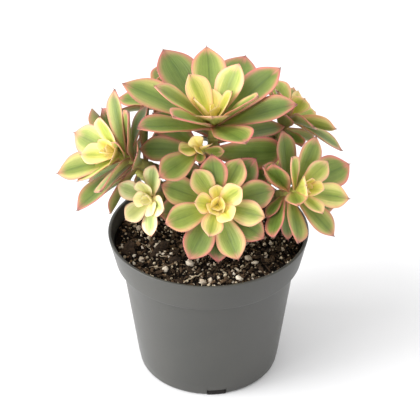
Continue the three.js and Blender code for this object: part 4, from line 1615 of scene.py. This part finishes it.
# Where most branches part from the trunk, the trunk's course, and the heads in the order in which they grow
FORK = (0.5, 12.5, 102.0)
TRUNK = np.array([(0.0, 12.0, 52.0), (0.0, 12.0, 92.0), (1.0, 13.0, 108.0)])
ROSETTES = (
    Rosette("rosette_front", (5, -18.5, 122.5), (-90, 32.5), 56, -1, 24, 35, 0.29, 9, 66, 16, 6, 14, 0.245,
            ((0.5, 12, 100), (4, 2, 109)),
            {5: (-2, -27, 0.89, -7), 6: (5, -4, 1.09, -7), 9: (0, 8, 0.94), 12: (-8, -2, 1.04),
             13: (-6, 2, 0.96), 15: (8, -2, 1.04), 17: (4, 0, 1.04), 18: (-6, 2, 0.94)},
            ((18, 35, -2, 1.1, -52),), pale=1.08, painted_shade=0.15),
    Rosette("rosette_top", (2.7, 5, 162.5), (-90, 82), 31, 1, 20, 54, 0.25, 9, 76, 24, 5, 18, 0.205,
            (FORK, (1.5, 13, 125)),
            {3: (4, -27, 1.28, -16), 4: (-25, -10, 1.3, 6), 5: (6, -2, 1.12), 6: (0, -10, 1.28),
             7: (-5, -11, 1.2, 5), 8: (0, 0, 1.08), 9: (-8, 0, 1.12), 10: (0, 10, 1), 11: (-10, 4, 1.04),
             12: (-6, 14, 1), 13: (12, 8, 1.03, 10), 14: (6, -4, 1.14), 15: (-2, 4, 1),
             16: (-3, -10, 1.15, 9), 17: (0, 4, 0.98), 18: (4, 8, 1), 19: (-2, 4, 1.12, -10)},
            ((8, 75, 8, 0.9), (10, 140, 3, 0.85), (14, 14, 10, 0.8)), pale=0.8),
    Rosette("rosette_right", (51.5, -14, 129.5), (-36, 33), 37, -1, 20, 37, 0.23, 9, 76, 28, 11, 16, 0.235,
            (FORK, (22, 5, 112)),
            {6: (6, 14, 1.05), 8: (8, -6, 1.1), 9: (14, 0, 0.89, 7), 10: (6, -6, 0.96), 11: (-6, 0, 1.04),
             12: (-1, 8, 0.77, 70), 14: (-2, -1, 1.01), 15: (-8, -13, 0.85, 5),
             16: (-2, -4, 1.22, -17), 18: (0, -6, 1.04), 19: (12, -6, 0.86)},
            ((8, 129, 27, 0.85, -90), (10, 193, -9, 0.54, 70), (13, 249, -31, 0.8),
             (10, 204, 5, 0.87, 90))),
    Rosette("rosette_left", (-52, -7, 149.5), (-163, 33), -24, -1, 21, 42, 0.2, 7.5, 75, 38, 20, 22, 0.25,
            (FORK, (-18, 8, 124)),
            {5: (0, -32, 0.9), 6: (4, -8, 1), 7: (6, 0, 1, 12), 8: (-38, -10, 0.92, 10), 9: (16, 0, 0.94),
             10: (3, 4, 0.5, 58), 11: (-12, 5, 1.07), 12: (-6, -3, 0.97), 13: (-6, 0, 1),
             14: (-38, -6, 0.98, -87), 15: (-4, 4, 1), 16: (-8, -3, 1.06), 17: (6, 0, 0.96),
             18: (10, -1, 0.8, 13), 19: (-4, -10, 0.86), 20: (39, -30, 1, -46)},
            ((15, 273, 4, 0.83, 38), (8, 109, 9, 0.79, 1)), painted_shade=0.6),
    Rosette("rosette_small_left", (-32.5, -16, 125), (-127, 20), 0, 1, 12, 25, 0.31, 6.8, 66, 22, 2, 10, 0.25,
            ((0, 12, 99), (-14, 4, 109)),
            {4: (0, 0, 1.06), 5: (0, -10, 1), 8: (-16, 4, 1), 9: (6, 0, 0.96), 10: (0, 0, 0.96),
             11: (8, 4, 1)}, pale=1.45, painted_shade=0.25),
    Rosette("rosette_under_top", (-4.5, -6, 152), (-100, 45), 350, 1, 15, 40, 0.35, 6, 60, 4, 3, 6, 0.21,
            ((1.5, 12, 112), (-1.5, 6, 132)),
            {2: (-3, 8, 0.65, -26), 3: (-40, 7, 0.66, -64), 4: (25, -1, 0.76, 15), 5: (44, -33, 0.52, 49),
             7: (-2, 10, 0.95, -5), 8: (-8, -6, 1.24), 10: (0, 10, 0.4), 12: (-16, 0, 0.88),
             13: (2, 4, 0.92)},
            ((3, 7, -15, 1.25, 35),), pale=0.7),
    Rosette("rosette_back_right", (49, 33, 152), (25, 50), 40, 1, 16, 34, 0.25, 7.5, 74, 20, 6, 15, 0.23,
            (FORK, (22, 22, 124)),
            {4: (15, 0, 1, 24), 7: (2, -14, 0.89, 26), 8: (-29, -5, 0.93, -72), 9: (20, -3, 1.02, -28),
             10: (18, 19, 0.69), 12: (-18, -13, 1.1, 13), 15: (-1, -4, 0.88, 54)},
            ((8, 90, -34, 1.1), (12, 132, -6, 1), (12, 330, -24, 1.1), (9, 178, 5, 0.72, 28),
             (9, 255, 15, 0.66, -50))),
    Rosette("rosette_back_left", (-28, 45, 154), (130, 52), 110, -1, 16, 34, 0.25, 7.5, 74, 20, 6, 15, 0.23,
            (FORK, (-14, 27, 126)), {7: (-29, 21, 1.08, -73), 9: (0, 1, 0.98, -38)},
            ((7, 50, -38, 1.1), (10.5, 42, -14, 1.1), (10.5, 252, -13, 1.1)), pale=0.6),
    Rosette("rosette_back", (4, 52, 132), (88, 38), 200, 1, 19, 38, 0.25, 8.5, 72, 18, 6, 14, 0.23,
            ((0.5, 13, 100), (3, 28, 111)), old=((8, 49, -17, 0.75),)),
    Rosette("rosette_low_right", (41, 31, 113), (36, 30), 300, -1, 12, 24, 0.3, 6, 66, 20, 3, 10, 0.24,
            ((0.5, 13, 97), (18, 22, 101)), pale=1.3),
    Rosette("rosette_low_left", (-43, 25, 119), (158, 30), 150, 1, 12, 26, 0.3, 6, 66, 20, 3, 10, 0.24,
            ((0.5, 13, 97), (-18, 20, 105)), {11: (10, -25, 0.81, -6)}, pale=1.3, painted_shade=0.4),
)


class Part(Enum):
    """The parts of a rosette's mesh, each with a finish of its own."""

    BLADE = 0
    STALK = 1
    HAIR = 2
    POINT = 3


@dataclass(frozen=True)
class Stretch:
    """A straight stretch of stem: whose it is, whether it is the fleshy stalk, its ends and its radius."""

    owner: str
    fleshy: bool
    low: FloatArray
    high: FloatArray
    radius: float


@dataclass
class Growth:
    """Hangs every leaf clear of the stems, the pot and the rosettes before it, as the solids' rule does."""

    branch_radius: float = 4.4
    stalk_radius: float = 4.0
    trunk_radius: float = 7.5
    course_points: int = 7
    gap: float = 1.7
    own_gap: float = 0.5
    over_rim: float = 2.5
    rim_inset: float = 2.0
    rim_gap: float = 5.0
    soil_top: float = 88.0
    swings: tuple[Triple, ...] = (
        (0, 0, 1), (0, 7, 1), (0, -7, 1), (7, 0, 1), (-7, 0, 1), (0, 14, 1), (0, -14, 1),
        (12, 5, 1), (-12, 5, 1), (12, -8, 1), (-12, -8, 1), (0, 21, 0.95), (0, -22, 0.95),
        (18, 10, 0.95), (-18, 10, 0.95), (18, -14, 0.9), (-18, -14, 0.9), (0, 30, 0.9), (0, -32, 0.9),
        (10, 24, 0.85), (-10, 24, 0.85), (10, -26, 0.8), (-10, -26, 0.8), (0, 0, 0.75), (0, 14, 0.7),
        (0, -14, 0.7), (0, 40, 0.8), (0, -44, 0.8),
    )

    def stretches(self) -> list[Stretch]:
        """The stems as straight stretches: each branch in six, each stalk and the trunk in one.

        Returns:
            The stretches.
        """
        lines = []
        for rosette in ROSETTES:
            course = smooth_course(rosette.branch, np.linspace(0, 1, self.course_points))
            lines += [Stretch(rosette.name, False, low, high, self.branch_radius)
                      for low, high in zip(course, course[1:])]
            crown = np.array(rosette.crown, float)
            lines.append(Stretch(rosette.name, True, rosette.stalk_foot, crown, self.stalk_radius))
        lines.append(Stretch("trunk", False, TRUNK[0], TRUNK[-1], self.trunk_radius))
        return lines

    @staticmethod
    def touches_stem(points: FloatArray, lines: list[Stretch], gap: float) -> bool:
        """Whether any point comes too near to a stretch of stem.

        Args:
            points: The points.
            lines: The stretches.
            gap: The least gap.

        Returns:
            True if one does.
        """
        low = np.array([line.low for line in lines])
        span = np.array([line.high for line in lines]) - low
        radius = np.array([line.radius for line in lines])
        offset = points[:, None] - low
        share = np.clip(np.einsum("pmk,mk->pm", offset, span) / np.einsum("mk,mk->m", span, span), 0, 1)
        distance = np.linalg.norm(offset - share[..., None] * span, axis=-1)
        return bool((distance < radius + gap).any())

    def touches_pot(self, points: FloatArray) -> bool:
        """Whether any point runs into the pot's rim or the soil.

        Args:
            points: The points.

        Returns:
            True if one does.
        """
        radius, height = np.hypot(points[:, 0], points[:, 1]), points[:, 2]
        beside = np.abs(radius - POT.rim_radius + self.rim_inset) < self.rim_gap
        in_wall = (height < POT.height + self.over_rim) & beside
        return bool((in_wall | ((radius < POT.rim_radius) & (height < self.soil_top))).any())

    @staticmethod
    def crosses(trial: LeafSet, points: FloatArray, grown: LeafSet, grown_points: FloatArray) -> bool:
        """Whether a leaf meets any of those already grown, tested from both sides.

        Args:
            trial: The leaf.
            points: Its probes.
            grown: The leaves before it.
            grown_points: Their probes.

        Returns:
            True if it meets one.
        """
        apart = np.linalg.norm(grown.base - trial.base, axis=1)
        near = apart <= trial.length[0] + grown.length
        return bool((near & (grown.meets(points[None]) | trial.meets(grown_points))).any())

    def grow(self) -> dict[str, LeafSet]:
        """Every rosette's leaves.

        Returns:
            Sets of leaves by the rosette's name.
        """
        lines = self.stretches()
        grown: dict[str, LeafSet] = {}
        for seed, rosette in enumerate(ROSETTES, start=1):
            others = [line for line in lines if line.owner != rosette.name]
            branch = [line for line in lines if line.owner == rosette.name and not line.fleshy]
            before = LeafSet.joined(list(grown.values())) if grown else None
            before_points = before.probes() if before else None
            own = []
            for number in range(1, rosette.leaves + len(rosette.old)):
                for swing in self.swings:
                    leaf = rosette.leaf(seed, number, swing)
                    points = leaf.probes()[0]
                    blocked = self.touches_pot(points) or self.touches_stem(points, others, self.gap)
                    blocked = blocked or self.touches_stem(points, branch, self.own_gap)
                    blocked = blocked or (before and self.crosses(leaf, points, before, before_points))
                    if not blocked:
                        own.append(leaf)
                        break
            grown[rosette.name] = LeafSet.joined(own)
        return grown


@dataclass
class Foliage:
    """Makes the rosettes: blades, hairs along their margins, their dark points, and the fleshy stalks."""

    # A blade's grid, its root and its end, how stations crowd there, and how much thinner it is at the point
    stations: int = 27
    around: int = 32
    root_depth: float = 0.2
    blade_end: float = 0.992
    crowding: float = 1.3
    thinning: float = 0.45

    # Fullness over and under the blade, and the midrib's groove above and ridge below
    fullness: Span = (0.94, 1.12)
    midrib: Span = (-0.22, 0.16)
    midrib_width: float = 0.2

    # Waves of the margin, twist of the blade, and fine folds lengthwise
    wave_counts: Span = (1.2, 2.6)
    wave_sizes: Span = (0.3, 1.0)
    wave_height: float = 0.011
    twist: float = 0.05
    folds: int = 9
    fold_height: float = 0.09
    folded_length: float = 30.0
    edge_at_point: float = 0.55
    usual_half_width: float = 9.5
    edge_power: float = 0.7

    # Hairs: how many stand along a margin and where, their length, lean and the leaf that has the longest
    hairs: int = 26
    hair_span: Span = (0.1, 0.97)
    hair_length: float = 0.55
    hair_lean: float = 0.5
    hair_inset: float = 0.995
    hair_root: float = 0.09
    hair_width: float = 0.08
    haired_length: float = 25.0

    # The dark point's stations and radii, and how far it hooks up
    point_steps: tuple[float, ...] = (-1.0, -0.2, 0.7, 1.4)
    point_radii: tuple[float, ...] = (0.44, 0.44, 0.28, 0.08)
    point_hook: float = 0.18
    point_sides: int = 7
    point_place: float = 0.985

    # The stalk's grid, its radius at the top and how far it goes, its freshness, and its scars
    stalk_steps: int = 26
    stalk_sides: int = 20
    stalk_top: float = 2.4
    stalk_past: float = 0.06
    freshness: Span = (0.35, 0.8)
    scar_spacing: float = 2.7
    scar_height: float = 0.18
    scar_gain: float = 0.6
    scar_depth: float = 0.55

    # Rosettes with shorter leaves than this take the pale finish; hairs and points have their own
    pale_reach: float = 30.0
    hair_finish: PlainFinish = PlainFinish(
        "leaf_hair", dark=paint(214, 196, 166), light=paint(236, 220, 190), roughness=0.6, scale=400.0,
        relief=0.0001,
    )
    point_finish: PlainFinish = PlainFinish(
        "leaf_point", dark=paint(96, 62, 54), light=paint(140, 92, 76), roughness=0.6, scale=900.0,
        relief=0.0002,
    )

    def blades(self, rosette: Rosette, leaves: LeafSet, seed: int) -> Surface:
        """Blades: an ellipse carried along each leaf's middle surface, with a midrib and wavy margins.

        Args:
            rosette: The head that they belong to.
            leaves: The leaves.
            seed: Seed of the waves.

        Returns:
            The surface, with the values that the leaf finish reads.
        """
        rng = np.random.default_rng(seed)
        count = len(leaves)
        share = np.linspace(0, 1, self.stations)
        s = (self.blade_end * (1 - (1 - share) ** self.crowding))[None, :, None]
        phi = np.linspace(0, 2 * np.pi, self.around, endpoint=False)[None, None, :]
        u, rise = np.cos(phi), np.sin(phi)
        length, half_width = leaves.length[:, None, None], leaves.half_width[:, None, None]
        half = 0.5 * leaves.thickness[:, None, None] * (1 - self.thinning * s)
        plump, rib = (np.where(rise < 0, below, above) for above, below in (self.fullness, self.midrib))
        keel = plump + rib * np.exp(-((u / self.midrib_width) ** 2))
        phase = rng.uniform(0, 2 * np.pi, (3, count, 1, 1))
        pace = rng.uniform(*self.wave_counts, (2, count, 1, 1))
        size = rng.uniform(*self.wave_sizes, (3, count, 1, 1))
        middle = 4 * s * (1 - s)
        ripple = np.where(u > 0, size[0] * np.sin(2 * np.pi * pace[0] * s + phase[0]),
                          size[1] * np.sin(2 * np.pi * pace[1] * s + phase[1]))
        wave = self.wave_height * length * np.abs(u) ** 3 * middle * ripple
        twist = self.twist * (size[2] - np.mean(self.wave_sizes)) * u * half_width * outline(s) * s
        folds = self.fold_height * middle * np.sin(self.folds * u + phase[2])
        folds = folds * np.minimum(1, length / self.folded_length)
        rings = leaves.surface(s, u * narrowing(s), half * rise * keel + wave + twist + folds)
        foot = leaves.base - leaves.along * self.root_depth
        top = leaves.surface(np.full((1, 1, 1), 1.0), np.zeros((1, 1, 1)))[:, 0, 0]
        full = np.ones((count, self.stations, self.around))
        beside = (1 - np.abs(u)) * half_width * outline(s) * narrowing(s)
        edge = np.minimum(beside, self.edge_at_point * (1 - s) * length) * full
        edge *= (self.usual_half_width / half_width) ** self.edge_power
        age = rosette.ripeness(leaves.number)[:, None, None] * full
        # Painted shade: the head's own lowering of the tone darkens all its leaves
        tone = (rng.uniform(0, 1, (count, 1, 1)) - rosette.painted_shade) * full
        values = {"along": s * full, "across": u * full, "edge": edge, "age": age, "tone": tone,
                  "under": np.clip(-rise, 0, 1) * full}
        return closed_tubes(rings, foot, top, values, Part.BLADE.value)

    def cilia(self, leaves: LeafSet) -> Surface:
        """Fine hairs along both margins: slim four-faced spikes that lean towards the leaf's point.

        Args:
            leaves: The leaves.

        Returns:
            The hairs.
        """
        s = np.linspace(*self.hair_span, self.hairs)[None, :, None] * np.ones((1, 1, 2))
        u = np.array([-1.0, 1.0])[None, None, :] * np.ones((1, self.hairs, 1))
        root = leaves.surface(s, u * self.hair_inset * narrowing(s))
        side = leaves.side[:, None, None] * u[..., None]
        along = np.broadcast_to(leaves.along[:, None, None], root.shape)
        normal = np.broadcast_to(leaves.normal[:, None, None], root.shape)
        lean = unit(side + self.hair_lean * along)
        length = self.hair_length * np.minimum(1, leaves.length / self.haired_length)[:, None, None, None]
        behind = root - self.hair_root / 2 * along
        corners = np.stack([root + self.hair_root * along, behind + self.hair_width * normal,
                            behind - self.hair_width * normal, root + lean * length], axis=-2)
        faces = np.array([[0, 1, 2], [0, 3, 1], [1, 3, 2], [2, 3, 0]])
        spikes = np.arange(len(leaves) * self.hairs * 2)
        triangles = (faces[None] + 4 * spikes[:, None, None]).reshape(-1, 3)
        surface = Surface(corners.reshape(-1, 3), np.empty((0, 4), int), triangles, {}, Part.HAIR.value)
        return surface.turned_outward()

    def points(self, leaves: LeafSet) -> Surface:
        """The small dark point at each leaf's end: a short cone that hooks up with the square of the way.

        Args:
            leaves: The leaves.

        Returns:
            The points.
        """
        steps = np.array(self.point_steps)[None, :, None]
        scale = np.minimum(1, leaves.length / self.folded_length)[:, None, None]
        tip = leaves.surface(np.full((1, 1, 1), self.point_place), np.zeros((1, 1, 1)))[:, 0]
        hook = self.point_hook * np.maximum(steps, 0) ** 2 * leaves.normal[:, None]
        path = tip + scale * (steps * leaves.along[:, None] + hook)
        radii = np.array(self.point_radii)[None, :, None] * scale * np.ones((1, 1, self.point_sides))
        return tubes(path, radii, None, Part.POINT.value)

    def stalk(self, rosette: Rosette, seed: int) -> Surface:
        """The fleshy stalk: a tube up the head's axis, swollen in a winding sine where leaves have dropped.

        Args:
            rosette: The head that it carries.
            seed: Where the winding starts.

        Returns:
            The stalk, greener towards its top.
        """
        end = np.array(rosette.crown) + rosette.axes[0] * self.stalk_past * rosette.reach
        share = np.linspace(0, 1, self.stalk_steps)[:, None]
        turn = np.linspace(0, 2 * np.pi, self.stalk_sides, endpoint=False)
        scars = np.sin(2 * np.pi * share * rosette.stalk / self.scar_spacing + turn[None, :] + seed)
        radius = lerp(rosette.STALK_RADIUS, self.stalk_top, share) + self.scar_height * scars
        low, gain = self.freshness
        fresh = np.clip(low + share * gain, 0, 1) * np.ones_like(scars)
        scar = np.clip(self.scar_gain * (-scars - self.scar_depth), 0, 1)
        path = lerp(rosette.stalk_foot, end, share)[None]
        return tubes(path, radius[None], {"fresh": fresh[None], "scar": scar[None]}, Part.STALK.value)

    def build(self) -> None:
        """Grows the leaves and makes a piece for every rosette, then the woody stems."""
        coats = [LeafFinish().make(), StemFinish().make(), self.hair_finish.make(), self.point_finish.make()]
        pale_coats = [PALE_LEAF.make(), *coats[1:]]
        grown = Growth().grow()
        for seed, rosette in enumerate(ROSETTES, start=1):
            leaves = grown[rosette.name]
            surfaces = [self.blades(rosette, leaves, 100 + seed), self.stalk(rosette, seed),
                        self.cilia(leaves), self.points(leaves)]
            pale = rosette.reach < self.pale_reach
            piece = make_piece(rosette.name + "_leaves", surfaces, pale_coats if pale else coats)
            seat(piece, "pale_leaves" if pale else "leaves", rosette.name)
        Stems(coats[Part.STALK.value]).build()


@dataclass
class Stems:
    """The woody trunk and the branch under every rosette."""

    bark: bpy.types.Material
    trunk_radii: Span = (7.5, 6.4)
    branch_foot: float = 4.6
    step: float = 0.9
    least_steps: int = 24
    sides: int = 24
    ring_spacing: float = 4.3
    ring_height: float = 0.2
    ring_sway: float = 1.6
    scar_gain: float = 1.1
    scar_depth: float = 0.62
    grain: float = 5.0
    grain_height: float = 0.13
    grain_twist: float = 0.3
    freshness: float = 0.12

    def limb(self, points: FloatArray, foot: float, top: float, seed: int) -> Surface:
        """One limb: a tube along a smooth course, ringed with leaf scars and roughened by random relief.

        Args:
            points: The points that it passes.
            foot: Radius at its foot.
            top: Radius at its top.
            seed: Seed of the relief.

        Returns:
            The limb's surface.
        """
        dense = smooth_course(points, np.linspace(0, 1, 200))
        walked = np.concatenate([[0], np.cumsum(np.linalg.norm(np.diff(dense, axis=0), axis=1))])
        place = np.linspace(0, walked[-1], max(self.least_steps, int(walked[-1] / self.step)))
        path = np.stack([np.interp(place, walked, dense[:, axis]) for axis in range(3)], axis=-1)
        turn = np.linspace(0, 2 * np.pi, self.sides, endpoint=False)[None, :]
        place = place[:, None]
        rings = np.sin(2 * np.pi * place / self.ring_spacing + self.ring_sway * np.sin(turn + seed) + seed)
        across = np.cos(turn) * foot * 2 + place * self.grain_twist
        rough = swell(across, np.broadcast_to(place, across.shape), self.grain, seed)
        radius = lerp(foot, top, place / walked[-1]) + self.ring_height * rings + self.grain_height * rough
        scar = np.clip(self.scar_gain * (-rings - self.scar_depth), 0, 1)
        fresh = np.full_like(scar, self.freshness)
        return tubes(path[None], radius[None], {"scar": scar[None], "fresh": fresh[None]})

    def build(self) -> None:
        """Makes the trunk and the branches as one piece."""
        limbs = [self.limb(TRUNK, *self.trunk_radii, 1)]
        limbs += [self.limb(rosette.branch, self.branch_foot, rosette.STALK_RADIUS, seed)
                  for seed, rosette in enumerate(ROSETTES, start=2)]
        seat(make_piece("woody_stems", limbs, [self.bark]), "stems", "stems")


@dataclass
class Studio:
    """A plain pale floor, a bright even surround, two soft lamps from the front left, and the camera."""

    aim: Triple = (0.93, 26.05, 89.6)
    distance: float = 860.5
    elevation: float = 33.33
    lens: float = 120.0
    sensor: float = 36.0
    farthest: float = 20.0
    floor_half: float = 3000.0
    floor_level: float = -0.05
    floor_colour: Colour = paint(243, 243, 244)
    floor_roughness: float = 0.9
    surround: Colour = (1.0, 1.0, 1.0, 1.0)
    surround_strength: float = 1.0
    lit: Triple = (0.0, 0.0, 0.1)

    # Each lamp's name, its place and width in metres, and its power in watts
    lamps: tuple[tuple[str, Triple, float, float], ...] = (
        ("key", (-1.05, -0.6, 1.4), 1.1, 14.0),
        ("side", (-1.6, -0.35, 0.42), 1.0, 33.0),
    )

    def floor(self) -> None:
        """A wide pale plane under the pot."""
        corners = np.array([(-1, -1), (1, -1), (1, 1), (-1, 1)]) * self.floor_half
        points = np.column_stack([corners, np.full(4, self.floor_level)])
        flat = Surface(points, np.array([[0, 1, 2, 3]]), np.empty((0, 3), int))
        graph = Graph("pale_floor", self.floor_roughness)
        make_piece("floor", [flat], [graph.finish(self.floor_colour)])

    def lamp(self, name: str, place: Triple, size: float, power: float) -> None:
        """A square soft light that points at the plant.

        Args:
            name: Its name.
            place: Where it hangs, in metres.
            size: Its width in metres.
            power: Its power in watts.
        """
        light = bpy.data.lights.new(name, "AREA")
        light.size = size
        light.energy = power
        lamp = bpy.data.objects.new(name, light)
        lamp.location = place
        lamp.rotation_euler = (Vector(self.lit) - Vector(place)).to_track_quat("-Z", "Y").to_euler()
        bpy.context.scene.collection.objects.link(lamp)

    def world(self) -> None:
        """An even pale surround."""
        world = bpy.data.worlds.new("surround")
        world.use_nodes = True
        background = world.node_tree.nodes["Background"]
        background.inputs["Color"].default_value = self.surround
        background.inputs["Strength"].default_value = self.surround_strength
        bpy.context.scene.world = world

    def camera(self) -> None:
        """The camera, at the photographed height and distance."""
        data = bpy.data.cameras.new("camera")
        data.lens = self.lens
        data.sensor_width = self.sensor
        data.clip_end = self.farthest
        camera = bpy.data.objects.new("camera", data)
        tilt = math.radians(self.elevation)
        back = np.array([0.0, -math.cos(tilt), math.sin(tilt)]) * self.distance
        camera.location = Vector((np.array(self.aim) + back) * MM)
        camera.rotation_euler = Euler((math.radians(90 - self.elevation), 0.0, 0.0))
        bpy.context.scene.collection.objects.link(camera)
        bpy.context.scene.camera = camera

    def build(self) -> None:
        """Sets the floor, the surround, the lamps and the camera."""
        self.floor()
        self.world()
        for row in self.lamps:
            self.lamp(*row)
        self.camera()
        bpy.context.scene.view_settings.view_transform = "Standard"


def main() -> None:
    """Builds the pot, the soil, the plant and the studio in order."""
    logging.basicConfig(level=logging.INFO, format="%(name)s %(message)s")
    POT.build()
    Soil().build()
    Foliage().build()
    Studio().build()


if __name__ == "__main__":
    main()
